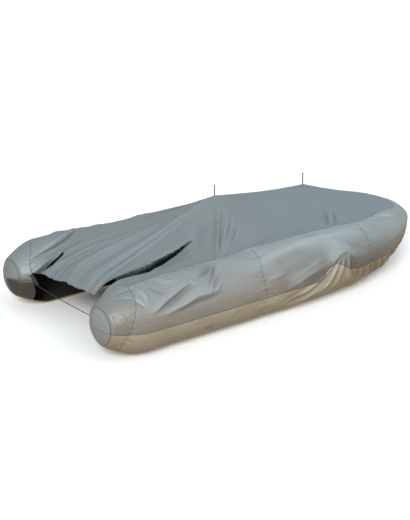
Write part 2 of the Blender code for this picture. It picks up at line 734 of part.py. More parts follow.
def turned(name, x, profile, material):
    """A turned solid about an upright line at x, from (radius, height) pairs, bottom to top."""
    turn = np.linspace(0, 2 * np.pi, POLE_SIDES, endpoint=False)
    vertices = [(x, 0, profile[0][1])]
    for radius, height in profile:
        vertices += [(x + radius * np.cos(a), radius * np.sin(a), height) for a in turn]
    vertices.append((x, 0, profile[-1][1]))
    faces = []
    last = len(vertices) - 1
    for k in range(POLE_SIDES):
        n = (k + 1) % POLE_SIDES
        faces.append((0, 1 + n, 1 + k))
        for ring in range(len(profile) - 1):
            low, high = 1 + ring * POLE_SIDES, 1 + (ring + 1) * POLE_SIDES
            faces.append((low + k, low + n, high + n, high + k))
        top = 1 + (len(profile) - 1) * POLE_SIDES
        faces.append((last, top + k, top + n))
    return make_object(name, vertices, faces, material)


def underside_at(deck, x, radius):
    """Lowest point of the deck's inner face on a small circle round the middle line at x."""
    mesh = deck.data
    tree = BVHTree.FromPolygons([v.co for v in mesh.vertices], [p.vertices for p in mesh.polygons])
    turn = np.linspace(0, 2 * np.pi, POLE_SIDES, endpoint=False)
    starts = [(x - SHIFT + radius * np.cos(a), radius * np.sin(a), 0.3) for a in turn]
    return min(tree.ray_cast(start, (0, 0, 1))[0].z for start in starts)


def make_pole(name, deck, place, cloth, reach, material):
    """A support pole: foot, tube, a short cone that carries the cloth, and the tip above it."""
    seat = underside_at(deck, place, POLE_NECK_RADIUS) - SEAM_GAP
    profile = (
        (POLE_FOOT_RADIUS, 0.0),
        (POLE_FOOT_RADIUS, POLE_FOOT_HEIGHT),
        (POLE_RADIUS, POLE_FOOT_HEIGHT + 0.012),
        (POLE_RADIUS, seat - 0.016),
        (POLE_NECK_RADIUS, seat),
        (POLE_TIP_RADIUS, seat + 0.0005),
        (POLE_TIP_RADIUS, cloth + reach - 0.003),
        (POLE_TIP_RADIUS * 0.5, cloth + reach),
    )
    return turned(name, place, profile, material)


def sock_tab(name, side, material):
    """A webbing tab sewn on a sock's hem, inboard; it returns the free end's middle."""
    (s0, a0), (s1, a1) = TAB_ENDS
    run = np.array([s1 - s0, np.radians(a1 - a0) * TUBE_RADIUS])
    across = np.array([-run[1], run[0]]) / np.hypot(*run) * TAB_WIDTH
    along, wide = np.meshgrid(np.linspace(0, 1, 5), np.linspace(-0.5, 0.5, 3), indexing="ij")
    s = s0 + run[0] * along + across[0] * wide
    angle = a0 + np.degrees((run[1] * along + across[1] * wide) / TUBE_RADIUS)
    lift = TAB_CLEARANCE + TAB_THICKNESS
    place = s if side < 0 else 2 * HALF_ROUND - s
    points, normals = tube_point(place, angle, lift)
    sheet_solid(name, points, normals * TAB_THICKNESS / THICKNESS, material)
    reach = 1 + (1.25 * TIE_RADIUS + SEAM_GAP) / np.hypot(*run)
    end_s = s0 + run[0] * reach
    end = tube_point(np.array(end_s if side < 0 else 2 * HALF_ROUND - end_s),
                     np.array(a0 + np.degrees(run[1] * reach / TUBE_RADIUS)), lift / 2)
    return end[0]


def cord(name, start, end, sag, material):
    """A thin cord from one point to another, with a little sag."""
    t = np.linspace(0, 1, 17)[:, None]
    route = start + (end - start) * t - np.array([0, 0, 1.0]) * sag * 4 * t * (1 - t)
    curve = bpy.data.curves.new(name, "CURVE")
    curve.dimensions = "3D"
    curve.bevel_depth = TIE_RADIUS
    curve.bevel_resolution = 1
    curve.use_fill_caps = True
    spline = curve.splines.new("POLY")
    spline.points.add(len(route) - 1)
    for point, place in zip(spline.points, route - (SHIFT, 0, 0)):
        point.co = (*place, 1.0)
    curve.materials.append(material)
    obj = bpy.data.objects.new(name, curve)
    bpy.context.scene.collection.objects.link(obj)
    return obj


for old in list(bpy.data.objects):
    bpy.data.objects.remove(old, do_unlink=True)

DECK_CLOTH = make_material("deck_cloth", (0.245, 0.300, 0.320), 0.5)
SIDE_CLOTH = make_material("side_cloth", (0.275, 0.320, 0.335), 0.5)
BAND_CLOTH = make_material("band_cloth", (0.300, 0.270, 0.210), 0.55)
POLE_FINISH = make_material("pole_rod", (0.09, 0.08, 0.075), 0.4)
TIE_FINISH = make_material("tie_webbing", (0.030, 0.030, 0.032), 0.7)

deck = make_deck(DECK_CLOTH)
for number, (place, height) in enumerate((POLE_AFT, POLE_FORE)):
    cut = deck.modifiers.new(f"pole_hole_{number}", "BOOLEAN")
    cut.operation = "DIFFERENCE"
    cut.solver = "EXACT"
    cut.object = hole(f"hole_cutter_{number}", place, height)

for panel, label in (("aft", "side_aft"), ("forward", "side_forward"), ("bow", "bow_panel")):
    side_pieces(panel, "panel", SIDE_CLOTH, label)
for panel, label in (("aft", "band_aft"), ("forward", "band_forward"), ("bow", "band_bow")):
    side_pieces(panel, "band", BAND_CLOTH, label)
sock_pieces(SIDE_CLOTH, BAND_CLOTH)

make_pole("pole_aft", deck, POLE_AFT[0], POLE_AFT[1], POLE_TIP_REACH[0], POLE_FINISH)
make_pole("pole_fore", deck, POLE_FORE[0], POLE_FORE[1], POLE_TIP_REACH[1], POLE_FINISH)

starboard_end = sock_tab("tab_starboard", -1, TIE_FINISH)
port_end = sock_tab("tab_port", 1, TIE_FINISH)
cord("tie_cord", starboard_end, port_end, TIE_SAG, TIE_FINISH)
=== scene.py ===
import bmesh
import bpy
import numpy as np
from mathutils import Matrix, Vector

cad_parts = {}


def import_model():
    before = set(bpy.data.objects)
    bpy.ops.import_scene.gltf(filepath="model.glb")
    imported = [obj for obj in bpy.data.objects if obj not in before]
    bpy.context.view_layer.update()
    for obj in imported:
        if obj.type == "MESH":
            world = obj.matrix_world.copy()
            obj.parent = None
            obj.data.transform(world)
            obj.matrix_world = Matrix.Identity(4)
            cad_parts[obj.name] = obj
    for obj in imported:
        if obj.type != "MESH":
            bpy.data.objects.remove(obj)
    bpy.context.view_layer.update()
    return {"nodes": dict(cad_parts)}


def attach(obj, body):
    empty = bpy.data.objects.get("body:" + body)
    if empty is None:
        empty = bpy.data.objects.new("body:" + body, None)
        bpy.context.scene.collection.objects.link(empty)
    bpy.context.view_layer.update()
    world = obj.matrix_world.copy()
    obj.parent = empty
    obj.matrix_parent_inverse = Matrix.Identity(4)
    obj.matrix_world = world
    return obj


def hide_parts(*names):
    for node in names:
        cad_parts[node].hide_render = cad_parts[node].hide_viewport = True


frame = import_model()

# ---- Floor, light and camera ---------------------------------------------------------------------
# A wide pale studio floor under a soft, slightly cool dome that is warm and dim below the horizon,
# which is what the cloth takes from the ground. A large soft light stands off the starboard quarter,
# and a weaker one off the starboard bow.
FLOOR_SIZE = 90.0
FLOOR_COLOUR = (0.97, 0.97, 0.97)
SKY_COLOUR = (0.86, 0.955, 1.0)
SKY_STRENGTH = 0.64
GROUND_COLOUR = (0.86, 0.72, 0.54)
HORIZON = (0.44, 0.54)               # share of the dome's height over which ground turns to sky

bpy.ops.object.select_all(action="DESELECT")
bpy.ops.mesh.primitive_plane_add(size=FLOOR_SIZE, location=(0, 0, 0))
floor = bpy.context.object
floor.name = "floor"
floor_finish = bpy.data.materials.new("studio_floor")
floor_finish.use_nodes = True
floor_shader = floor_finish.node_tree.nodes["Principled BSDF"]
floor_shader.inputs["Base Color"].default_value = (*FLOOR_COLOUR, 1)
floor_shader.inputs["Roughness"].default_value = 0.95
floor_shader.inputs["Specular IOR Level"].default_value = 0.1
floor.data.materials.append(floor_finish)
floor.visible_diffuse = False
floor.visible_glossy = False

world = bpy.data.worlds.new("overcast")
bpy.context.scene.world = world
world.use_nodes = True
dome = world.node_tree
sky = dome.nodes["Background"]
sky.inputs["Strength"].default_value = SKY_STRENGTH
direction = dome.nodes.new("ShaderNodeTexCoord")
height = dome.nodes.new("ShaderNodeSeparateXYZ")
dome.links.new(direction.outputs["Generated"], height.inputs[0])
share = dome.nodes.new("ShaderNodeMapRange")
share.inputs["From Min"].default_value = -1.0
dome.links.new(height.outputs[2], share.inputs["Value"])
shade = dome.nodes.new("ShaderNodeValToRGB")
shade.color_ramp.elements[0].position = HORIZON[0]
shade.color_ramp.elements[0].color = (*GROUND_COLOUR, 1)
shade.color_ramp.elements[1].position = HORIZON[1]
shade.color_ramp.elements[1].color = (*SKY_COLOUR, 1)
dome.links.new(share.outputs["Result"], shade.inputs["Fac"])
dome.links.new(shade.outputs["Color"], sky.inputs["Color"])
bpy.context.scene.view_settings.view_transform = "Standard"

# Soft lights: turn from straight to starboard, height, spread, strength, colour
LIGHTS = {
    "stern_light": (-48.0, 34.0, 26.0, 2.9, (1.0, 0.985, 0.96)),
    "bow_light": (24.0, 30.0, 50.0, 0.9, (0.92, 0.97, 1.0)),
}
for light_name, (turn, tilt, reach, strength, colour) in LIGHTS.items():
    lamp = bpy.data.lights.new(light_name, "SUN")
    lamp.energy = strength
    lamp.angle = np.radians(reach)
    lamp.color = colour
    light = bpy.data.objects.new(light_name, lamp)
    turn, tilt = np.radians(turn), np.radians(tilt)
    towards = Vector((np.sin(turn) * np.cos(tilt), -np.cos(turn) * np.cos(tilt), np.sin(tilt)))
    light.rotation_euler = towards.to_track_quat("Z", "Y").to_euler()
    bpy.context.scene.collection.objects.link(light)

CAMERA_TURN = np.radians(-38.123)
CAMERA_TILT = np.radians(19.314)
CAMERA_DISTANCE = 7.5351
CAMERA_AIM = np.array([-0.2649, 0.0, 0.2295])
lens = bpy.data.cameras.new("camera")
lens.lens = 73.17
camera = bpy.data.objects.new("camera", lens)
away = np.array([np.sin(CAMERA_TURN) * np.cos(CAMERA_TILT),
                 -np.cos(CAMERA_TURN) * np.cos(CAMERA_TILT), np.sin(CAMERA_TILT)])
camera.location = CAMERA_AIM + away * CAMERA_DISTANCE
camera.rotation_euler = Vector(-away).to_track_quat("-Z", "Y").to_euler()
bpy.context.scene.collection.objects.link(camera)
bpy.context.scene.camera = camera

# ---- Tie cord and webbing tabs -------------------------------------------------------------------
# A thin black cord keeps the two tail socks together across the stern. It is knotted to a short
# webbing tab on each sock's inboard hem and pulled straight.
BOAT_SHIFT = 1.5464                  # the pattern's x runs from the cones' tips; the object's origin is here


class Number:
    """A value inside a material that is added, multiplied and divided like a plain number."""

    def __init__(self, finish, socket):
        self.finish = finish
        self.socket = socket

    def maths(self, operation, *values):
        return self.finish.node("ShaderNodeMath", {"operation": operation}, dict(enumerate(values)))

    def __add__(self, other):
        return self.maths("ADD", self, other)

    def __sub__(self, other):
        return self.maths("SUBTRACT", self, other)

    def __rsub__(self, other):
        return self.maths("SUBTRACT", other, self)

    def __mul__(self, other):
        return self.maths("MULTIPLY", self, other)

    def __truediv__(self, other):
        return self.maths("DIVIDE", self, other)

    __radd__ = __add__
    __rmul__ = __mul__

    def wave(self, length):
        """From -1 to 1 and back over each length."""
        return self.maths("SINE", self * (2 * np.pi / length))

    def near(self, place, width):
        """1 at that place, fading to 0 at a width away from it."""
        return self.maths("SUBTRACT", 1.0, self.maths("ABSOLUTE", self - place) / width).clamped()

    def clamped(self):
        return self.finish.node("ShaderNodeClamp", {}, {0: self})


class Finish:
    """A material and its nodes."""

    def __init__(self, name, roughness, specular=0.5):
        self.material = bpy.data.materials.new(name)
        self.material.use_nodes = True
        self.tree = self.material.node_tree
        self.shader = self.tree.nodes["Principled BSDF"]
        self.shader.inputs["Roughness"].default_value = roughness
        self.shader.inputs["Specular IOR Level"].default_value = specular

    def node(self, kind, settings, values, output=0):
        new = self.tree.nodes.new(kind)
        for key, value in settings.items():
            setattr(new, key, value)
        for key, value in values.items():
            self.put(new.inputs[key], value)
        return Number(self, new.outputs[output])

    def put(self, socket, value):
        if isinstance(value, Number):
            self.tree.links.new(value.socket, socket)
        else:
            socket.default_value = value

    def place(self):
        return self.node("ShaderNodeTexCoord", {}, {}, "Object")

    def across(self, layer):
        """The two numbers of a UV layer, in metres."""
        layer = self.node("ShaderNodeUVMap", {"uv_map": layer}, {})
        split = self.node("ShaderNodeSeparateXYZ", {}, {0: layer})
        return split, Number(self, split.socket.node.outputs[1])

    def noise(self, vector, scale, detail=3.0, roughness=0.5):
        return self.node("ShaderNodeTexNoise", {}, {"Vector": vector, "Scale": scale, "Detail": detail,
                                                    "Roughness": roughness}, "Fac")

    def stretched(self, vector, stretch, turn=0.0):
        return self.node("ShaderNodeMapping", {}, {"Vector": vector, "Scale": stretch,
                                                   "Rotation": (0.0, 0.0, turn)})

    def mixed(self, share, first, second, kind="MIX"):
        new = self.tree.nodes.new("ShaderNodeMix")
        new.data_type = "RGBA"
        new.blend_type = kind
        self.put(new.inputs[0], share)
        for socket, value in ((new.inputs[6], first), (new.inputs[7], second)):
            self.put(socket, value if isinstance(value, Number) else (*value, 1.0))
        return Number(self, new.outputs[2])

    def bump(self, height, distance, strength=1.0, under=None):
        values = {"Height": height, "Distance": distance, "Strength": strength}
        if under is not None:
            values["Normal"] = under
        return self.node("ShaderNodeBump", {}, values)

    def colour(self, value):
        self.put(self.shader.inputs["Base Color"], value)

    def rough(self, value):
        self.put(self.shader.inputs["Roughness"], value)

    def normal(self, value):
        self.put(self.shader.inputs["Normal"], value)


def webbing_finish():
    """Black woven webbing and cord, a little dusty."""
    finish = Finish("tie_webbing_finish", 0.75, 0.3)
    place = finish.place()
    ribs = finish.noise(place, 900.0, 2.0)
    dust = finish.noise(place, 35.0)
    finish.colour(finish.mixed(dust, (0.018, 0.018, 0.019), (0.050, 0.049, 0.047)))
    finish.rough(0.65 + 0.2 * dust)
    finish.normal(finish.bump(ribs, 0.0006))
    return finish.material


WEBBING = webbing_finish()

# The cord's ends on the tabs, its sag, and its thickness
CORD_STARBOARD = np.array([-1.41423, -0.37383, 0.19004])
CORD_SAG = 0.006
CORD_THICK = 0.0056
CORD_POINTS = 17


def tie_route():
    """Points along the cord from the starboard tab to the port tab."""
    share = np.linspace(0, 1, CORD_POINTS)[:, None]
    port_end = CORD_STARBOARD * (1, -1, 1)
    return (CORD_STARBOARD + (port_end - CORD_STARBOARD) * share
            - np.array([0, 0, 1.0]) * CORD_SAG * 4 * share * (1 - share))


def place_cord(name, route, thick, finish):
    """A round cord along a route, as one open spline."""
    curve = bpy.data.curves.new(name, "CURVE")
    curve.dimensions = "3D"
    curve.bevel_depth = thick / 2
    curve.bevel_resolution = 3
    curve.use_fill_caps = True
    spline = curve.splines.new("POLY")
    spline.points.add(len(route) - 1)
    for point, where in zip(spline.points, route):
        point.co = (*where, 1.0)
    curve.materials.append(finish)
    cord = bpy.data.objects.new(name, curve)
    bpy.context.scene.collection.objects.link(cord)
    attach(cord, "root")
    return cord


tie = place_cord("tie_cord_laid", tie_route(), CORD_THICK, WEBBING)
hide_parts("tie_cord")
for tab in ("tab_starboard", "tab_port"):
    frame["nodes"][tab].material_slots[0].material = WEBBING

# ---- Side panels ---------------------------------------------------------------------------------
# Two coated-polyester panels on each side, sewn edge to edge round the tubes. They hang a little
# loose, so they carry lapped folds aft, long slanting folds forward and a pulled-out point near the bow.
TUBE_RADIUS = 0.225
TUBE_OFFSET = 0.555
BOW_START = 1.920
BOW_MIDDLE = 2.867
BOW_POWERS = (1.80, 2.32)
RISE_START = 1.566
RISE_POWER = 1.2
CREST_RISE = -0.056
WIDEST_RISE = 0.152
KEEL_RISE = 0.050
CONE_LENGTH = 0.269
CONE_TIP = 0.451
CONE_ROUND = 0.2
MIDDLE_LINE_SAMPLES = 2400
CLOTH_THICK = 0.0014
HALF_SEAM = 0.00015
BAND_HEIGHT = (0.197, 0.228)
HEM_ANGLE = 205.0
PORT_MIRROR = 0.92

# Deck seam: distance along the tube, then section angle and lift off the tube to starboard and to port.
# The cover sits a little askew: the port seam starts inboard and crosses the tube's crest to its far side.
DECK_SEAM = ((0.20, 6.0, 0.000, -40.0, 0.000), (0.27, 3.3, 0.000, -37.7, 0.003),
             (0.33, 1.0, 0.000, -33.8, 0.006), (0.40, -2.0, 0.000, -26.0, 0.008),
             (0.455, -4.9, 0.000, -17.5, 0.009), (0.51, -7.6, 0.000, -6.3, 0.009),
             (0.585, -10.2, 0.000, 6.0, 0.008), (0.65, -10.9, 0.000, 16.0, 0.006),
             (0.72, -11.0, 0.001, 24.0, 0.003), (0.95, -11.0, 0.002, 32.0, -0.006),
             (1.25, -15.0, 0.012, 32.0, 0.000), (1.50, -15.8, 0.016, 31.5, 0.006),
             (1.75, -16.0, 0.020, 29.0, 0.008), (2.05, -18.0, 0.022, 16.0, 0.010),
             (2.30, -11.0, 0.008, -6.0, 0.006), (2.45, -8.0, 0.003, -8.0, 0.003),
             (2.68, -2.0, 0.000, -2.0, 0.000), (2.84, 16.0, 0.000, 16.0, 0.000),
             (2.94, 42.0, 0.000, 42.0, 0.000), (3.13, 58.0, 0.000, 58.0, 0.000))
# How far the band's seam is drawn up below the pulled-out point: distance, degrees
BAND_PULL = ((1.60, 0.0), (1.71, 4.0), (1.78, 19.0), (1.85, 26.0), (1.91, 20.0), (1.98, 4.0), (2.05, 0.0))
# Seams that cross the tube: section angle, distance along it to starboard and to port
SOCK_SEAM = ((-120.0, 0.130, 0.130), (-88.0, 0.108, 0.108), (-60.0, 0.112, 0.108), (-50.0, 0.116, 0.112),
             (-30.0, 0.160, 0.139), (-15.0, 0.208, 0.166), (0.0, 0.232, 0.193), (22.0, 0.224, 0.212),
             (45.0, 0.204, 0.200), (69.0, 0.170, 0.170), (85.0, 0.146, 0.146), (127.0, 0.106, 0.106),
             (165.0, 0.112, 0.112), (205.0, 0.140, 0.140), (240.0, 0.130, 0.130))
SIDE_SEAM = ((-20.0, 1.270), (20.0, 1.223), (49.0, 1.190), (76.0, 1.182), (97.0, 1.192), (130.0, 1.175),
             (205.0, 1.160))
BOW_SEAM = ((-20.0, 2.320), (-7.0, 2.300), (45.0, 2.180), (83.0, 2.157), (106.0, 2.197), (150.0, 2.230),
            (205.0, 2.240))

# Wide soft folds: s and angle of both ends, half width, height
SOFT_FOLDS = (
    (1.86, 12.0, 1.93, 60.0, 0.055, 0.010),
    (1.84, 66.0, 1.99, 62.0, 0.050, 0.016),
    (1.60, 104.0, 1.84, 80.0, 0.045, -0.012),
    (1.30, 72.0, 1.75, 36.0, 0.050, -0.010),
    (0.82, 10.0, 0.78, 46.0, 0.035, -0.006),
)

# Folds: a line of (s, angle) points, half width to its left and right as it runs, height
FOLDS = (
    # two lapped folds behind the aft pole's pull
    (((0.302, 65.6), (0.394, 53.9), (0.497, 45.6), (0.629, 33.8)), 0.034, 0.010, 0.016),
    (((0.325, 68.0), (0.437, 57.5), (0.536, 47.0), (0.640, 38.0)), 0.010, 0.022, -0.012),
    (((0.629, 33.8), (0.668, 37.0)), 0.012, 0.009, 0.007),
    (((0.369, 73.1), (0.504, 67.7), (0.624, 60.9), (0.738, 60.5), (0.803, 55.9)), 0.046, 0.014, 0.022),
    (((0.48, 76.0), (0.62, 70.0), (0.75, 68.5), (0.83, 64.0)), 0.014, 0.030, -0.006),
    # creases that drop from the deck seam below the aft pole
    (((0.885, 1.0), (0.802, 18.4), (0.714, 29.3)), 0.012, 0.020, -0.013),
    (((0.900, 4.0), (0.831, 28.5), (0.753, 49.0), (0.730, 56.0)), 0.009, 0.010, -0.013),
    (((0.902, 26.0), (0.808, 47.3), (0.749, 61.1)), 0.011, 0.016, -0.011),
    (((0.872, 20.0), (0.795, 40.0), (0.736, 57.0)), 0.013, 0.013, 0.009),
    (((0.925, 14.0), (0.860, 36.0), (0.790, 58.0)), 0.020, 0.020, 0.007),
    # small folds by the sock seam
    (((0.140, 9.0), (0.185, 9.4), (0.227, 12.0), (0.262, 23.3)), 0.008, 0.011, -0.009),
    (((0.118, 14.5), (0.158, 25.4), (0.208, 35.9)), 0.009, 0.009, -0.005),
    (((0.245, 17.0), (0.279, 28.4), (0.282, 38.5), (0.276, 50.0)), 0.010, 0.014, 0.008),
    (((0.204, 35.8), (0.229, 47.2), (0.252, 60.0)), 0.010, 0.010, -0.005),
    (((0.443, -1.0), (0.466, 20.0), (0.552, 22.7)), 0.012, 0.022, 0.006),
    (((0.338, 21.7), (0.389, 35.4), (0.421, 42.0)), 0.020, 0.024, -0.006),
    (((0.098, 53.6), (0.137, 67.3)), 0.009, 0.009, 0.0025),
    (((0.069, 46.3), (0.070, 64.2)), 0.010, 0.010, -0.003),
    (((0.123, 106.0), (0.153, 116.5)), 0.010, 0.012, -0.005),
    # long slanting folds forward of the side seam
    (((1.190, 36.9), (1.408, 27.0), (1.645, 18.5), (1.800, 14.5), (2.002, 12.3)), 0.055, 0.016, 0.013),
    (((1.35, 38.0), (1.50, 31.0), (1.68, 26.0)), 0.020, 0.030, -0.006),
    (((1.205, 31.1), (1.349, 22.0)), 0.018, 0.012, 0.005),
    (((1.188, 66.3), (1.283, 65.9), (1.407, 60.0)), 0.022, 0.012, 0.005),
    (((1.358, 92.0), (1.541, 78.8), (1.699, 72.0)), 0.034, 0.014, 0.010),
    (((1.40, 78.0), (1.56, 66.0), (1.76, 54.0)), 0.030, 0.018, 0.007),
    (((1.615, 4.6), (1.715, -1.5), (1.860, -8.0)), 0.012, 0.014, -0.006),
    (((1.984, 34.5), (2.039, 48.8), (2.123, 64.1)), 0.020, 0.020, -0.003),
    (((2.075, 23.9), (2.127, 38.0), (2.161, 49.4)), 0.014, 0.014, -0.004),
    # the pulled-out point and the pleats that hang from it
    (((1.780, 72.0), (1.820, 65.0), (1.861, 59.5), (1.926, 58.8), (1.948, 65.0)), 0.060, 0.016, 0.022),
    (((1.851, 66.0), (1.788, 84.6), (1.698, 99.4), (1.565, 116.4), (1.434, 127.0)), 0.012, 0.013, -0.013),
    (((1.832, 67.9), (1.756, 86.0), (1.634, 99.0), (1.495, 112.0)), 0.014, 0.012, 0.009),
    (((1.878, 69.6), (1.837, 92.1), (1.800, 112.3), (1.730, 131.0)), 0.011, 0.012, -0.013),
    (((1.866, 68.0), (1.815, 88.0), (1.755, 106.0), (1.660, 124.0)), 0.012, 0.011, 0.011),
    (((1.912, 71.6), (1.895, 91.2), (1.875, 120.0)), 0.010, 0.011, -0.013),
    (((1.895, 70.0), (1.868, 92.0), (1.835, 120.0)), 0.010, 0.010, 0.011),
    (((1.950, 70.7), (1.967, 94.0), (2.024, 124.0)), 0.011, 0.011, -0.012),
    (((1.932, 71.0), (1.932, 94.0), (1.950, 122.0)), 0.010, 0.010, 0.010),
    (((1.965, 69.6), (2.003, 96.8), (2.070, 128.0)), 0.010, 0.012, -0.007),
    (((1.700, 96.0), (1.560, 112.0), (1.400, 124.0)), 0.010, 0.011, -0.008),
    (((1.760, 112.0), (1.700, 124.0), (1.620, 136.0)), 0.010, 0.011, -0.008),
    (((1.62, 92.0), (1.50, 104.0), (1.34, 118.0)), 0.016, 0.018, -0.006),
    (((1.72, 108.0), (1.60, 122.0), (1.50, 134.0)), 0.014, 0.014, 0.007),
    # dips in the band between the side seam and the bow, and folds round the bow
    (((0.699, 121.0), (0.748, 138.0)), 0.010, 0.012, -0.007),
    (((0.737, 121.0), (0.778, 137.0)), 0.009, 0.011, -0.007),
    (((0.927, 119.8), (0.967, 104.2)), 0.010, 0.010, -0.003),
    (((2.037, 101.0), (2.074, 130.0)), 0.012, 0.014, -0.009),
    (((2.089, 103.0), (2.140, 134.0)), 0.012, 0.015, -0.010),
    (((2.155, 100.0), (2.249, 139.0)), 0.014, 0.016, -0.011),
    (((2.222, 106.0), (2.330, 143.0)), 0.014, 0.018, -0.010),
    (((2.295, 107.0), (2.420, 143.0)), 0.014, 0.018, -0.012),
    (((2.363, 108.0), (2.490, 142.0)), 0.014, 0.018, -0.010),
    (((2.441, 108.0), (2.560, 140.0)), 0.015, 0.018, -0.012),
    (((2.520, 106.0), (2.630, 138.0)), 0.015, 0.018, -0.010),
    (((2.610, 108.0), (2.700, 140.0)), 0.015, 0.018, -0.011),
    # short folds on the bow panel
    (((2.670, -2.0), (2.706, 18.5), (2.722, 38.0)), 0.011, 0.014, -0.014),
    (((2.645, 2.0), (2.680, 20.0), (2.690, 38.0)), 0.014, 0.012, 0.010),
    (((2.520, -6.0), (2.548, 10.0), (2.600, 26.0)), 0.008, 0.011, -0.009),
    (((2.560, -5.0), (2.590, 10.0), (2.640, 24.0)), 0.007, 0.010, -0.008),
    (((2.480, -7.0), (2.500, 8.0), (2.530, 20.0)), 0.008, 0.010, -0.007),
    (((2.610, -4.0), (2.640, 8.0)), 0.007, 0.009, -0.007),
    (((2.426, -5.2), (2.393, 16.3), (2.412, 24.7)), 0.013, 0.013, -0.004),
    (((2.782, 4.0), (2.841, 20.8), (2.887, 34.0)), 0.012, 0.014, -0.006),
    (((2.239, 12.0), (2.220, 36.0)), 0.012, 0.012, -0.004),
)
STARBOARD_ONLY = 0.26                # those that start nearer the tail than this are to starboard alone
# The same for the port side alone: the cloth laps over the seam where it crosses the tube
PORT_FOLDS = (
    (((0.200, -31.0), (0.280, -27.0), (0.360, -20.0), (0.440, -11.0), (0.520, 1.0), (0.580, 11.0)),
     0.012, 0.012, 0.011),
    (((0.160, -39.0), (0.240, -36.5), (0.320, -31.5), (0.400, -23.5), (0.480, -12.5), (0.550, -1.5)),
     0.007, 0.007, -0.010),
    (((0.180, -52.0), (0.280, -47.0), (0.400, -36.0)), 0.010, 0.014, 0.007),
    (((0.170, -46.0), (0.260, -42.5), (0.360, -34.0)), 0.008, 0.009, -0.007),
    # gathers low on its sock
    (((0.030, 84.0), (0.100, 92.0)), 0.008, 0.010, -0.005),
    (((0.036, 98.0), (0.105, 112.0)), 0.008, 0.010, -0.006),
    (((0.045, 112.0), (0.100, 134.0)), 0.009, 0.010, 0.006),
    (((0.060, 124.0), (0.105, 150.0)), 0.008, 0.010, -0.007),
    (((0.075, 60.0), (0.125, 76.0)), 0.009, 0.009, -0.004),
)


def column(table, index):
    return np.array([row[index] for row in table])


def smooth(table, at, index=1):
    """A column of a table read between its rows with a smooth curve that never overshoots."""
    x = column(table, 0)
    y = column(table, index)
    at = np.clip(np.asarray(at, float), x[0], x[-1])
    slope = np.diff(y) / np.diff(x)
    inner = np.where(slope[:-1] * slope[1:] > 0,
                     2 * slope[:-1] * slope[1:] / (slope[:-1] + slope[1:] + 1e-12), 0.0)
    tangent = np.concatenate([[slope[0]], inner, [slope[-1]]])
    i = np.clip(np.searchsorted(x, at) - 1, 0, len(x) - 2)
    width = x[i + 1] - x[i]
    t = (at - x[i]) / width
    return ((2 * t**3 - 3 * t**2 + 1) * y[i] + (t**3 - 2 * t**2 + t) * width * tangent[i]
            + (3 * t**2 - 2 * t**3) * y[i + 1] + (t**3 - t**2) * width * tangent[i + 1])


def ease(value, start, end):
    """From 0 at start to 1 at end, smoothly."""
    t = np.clip((value - start) / (end - start), 0, 1)
    return t * t * (3 - 2 * t)


def middle_line():
    """The starboard tube's middle line as x, y and length so far, from cone tip to bow."""
    half = MIDDLE_LINE_SAMPLES // 2
    run = np.linspace(0, 1, half)
    x = np.concatenate([np.linspace(0, BOW_START, half, endpoint=False),
                        BOW_START + (BOW_MIDDLE - BOW_START) * (1 - (1 - run)**2.2)])
    bend = np.clip((x - BOW_START) / (BOW_MIDDLE - BOW_START), 0, 1)
    y = TUBE_OFFSET * np.clip(1 - bend**BOW_POWERS[0], 0, 1)**(1 / BOW_POWERS[1])
    length = np.concatenate([[0], np.cumsum(np.hypot(np.diff(x), np.diff(y)))])
    return x, y, length


LINE_X, LINE_Y, LINE_S = middle_line()
HALF_ROUND = LINE_S[-1]


def near_s(s):
    return np.where(s > HALF_ROUND, 2 * HALF_ROUND - s, s)


def middle_at(s):
    """Place on the middle line and the outward direction there, for s round the whole boat."""
    s = np.asarray(s, float)
    near = near_s(s)
    side = np.where(s > HALF_ROUND, 1.0, -1.0)
    step = 0.012
    ahead = np.clip(near + step, 0, HALF_ROUND)
    behind = np.clip(near - step, 0, HALF_ROUND)
    along_x = np.interp(ahead, LINE_S, LINE_X) - np.interp(behind, LINE_S, LINE_X)
    along_y = np.interp(ahead, LINE_S, LINE_Y) - np.interp(behind, LINE_S, LINE_Y)
    at_bow = np.abs(s - HALF_ROUND) < step
    along_x = np.where(at_bow, along_x * np.abs(s - HALF_ROUND) / step, along_x)
    size = np.hypot(along_x, along_y)
    x = np.interp(near, LINE_S, LINE_X)
    y = side * np.interp(near, LINE_S, LINE_Y)
    return x, y, -along_y / size, side * along_x / size


def section_at(x):
    """Height of the widest line and the section's reach up, down and outboard at x."""
    rise = np.clip((x - RISE_START) / (BOW_MIDDLE - RISE_START), 0, 1)**RISE_POWER
    cone = np.clip((CONE_LENGTH - x) / CONE_LENGTH, 0, 1)
    tip = np.clip((cone - 1 + CONE_ROUND) / CONE_ROUND, 0, 1)
    shrink = (1 - (1 - CONE_TIP) * cone**1.6) * np.sqrt(np.clip(1 - tip**2, 0, 1))
    middle = TUBE_RADIUS + WIDEST_RISE * rise
    up = (TUBE_RADIUS + (CREST_RISE - WIDEST_RISE) * rise) * shrink
    down = (TUBE_RADIUS + (WIDEST_RISE - KEEL_RISE) * rise) * shrink
    return middle, up, down, TUBE_RADIUS * shrink


def deck_seam_angle(s):
    return np.where(s > HALF_ROUND, smooth(DECK_SEAM, near_s(s), 3), smooth(DECK_SEAM, near_s(s), 1))


def deck_seam_lift(s):
    return np.where(s > HALF_ROUND, smooth(DECK_SEAM, near_s(s), 4), smooth(DECK_SEAM, near_s(s), 2))


def band_seam_angle(s):
    x = middle_at(s)[0]
    middle, _, down, _ = section_at(x)
    rise = np.clip((x - RISE_START) / (BOW_MIDDLE - RISE_START), 0, 1)
    height = BAND_HEIGHT[0] + (BAND_HEIGHT[1] - BAND_HEIGHT[0]) * rise
    level = 90 + np.degrees(np.arcsin(np.clip((middle - height) / np.maximum(down, 0.05), -1, 1)))
    return level - smooth(BAND_PULL, near_s(s))


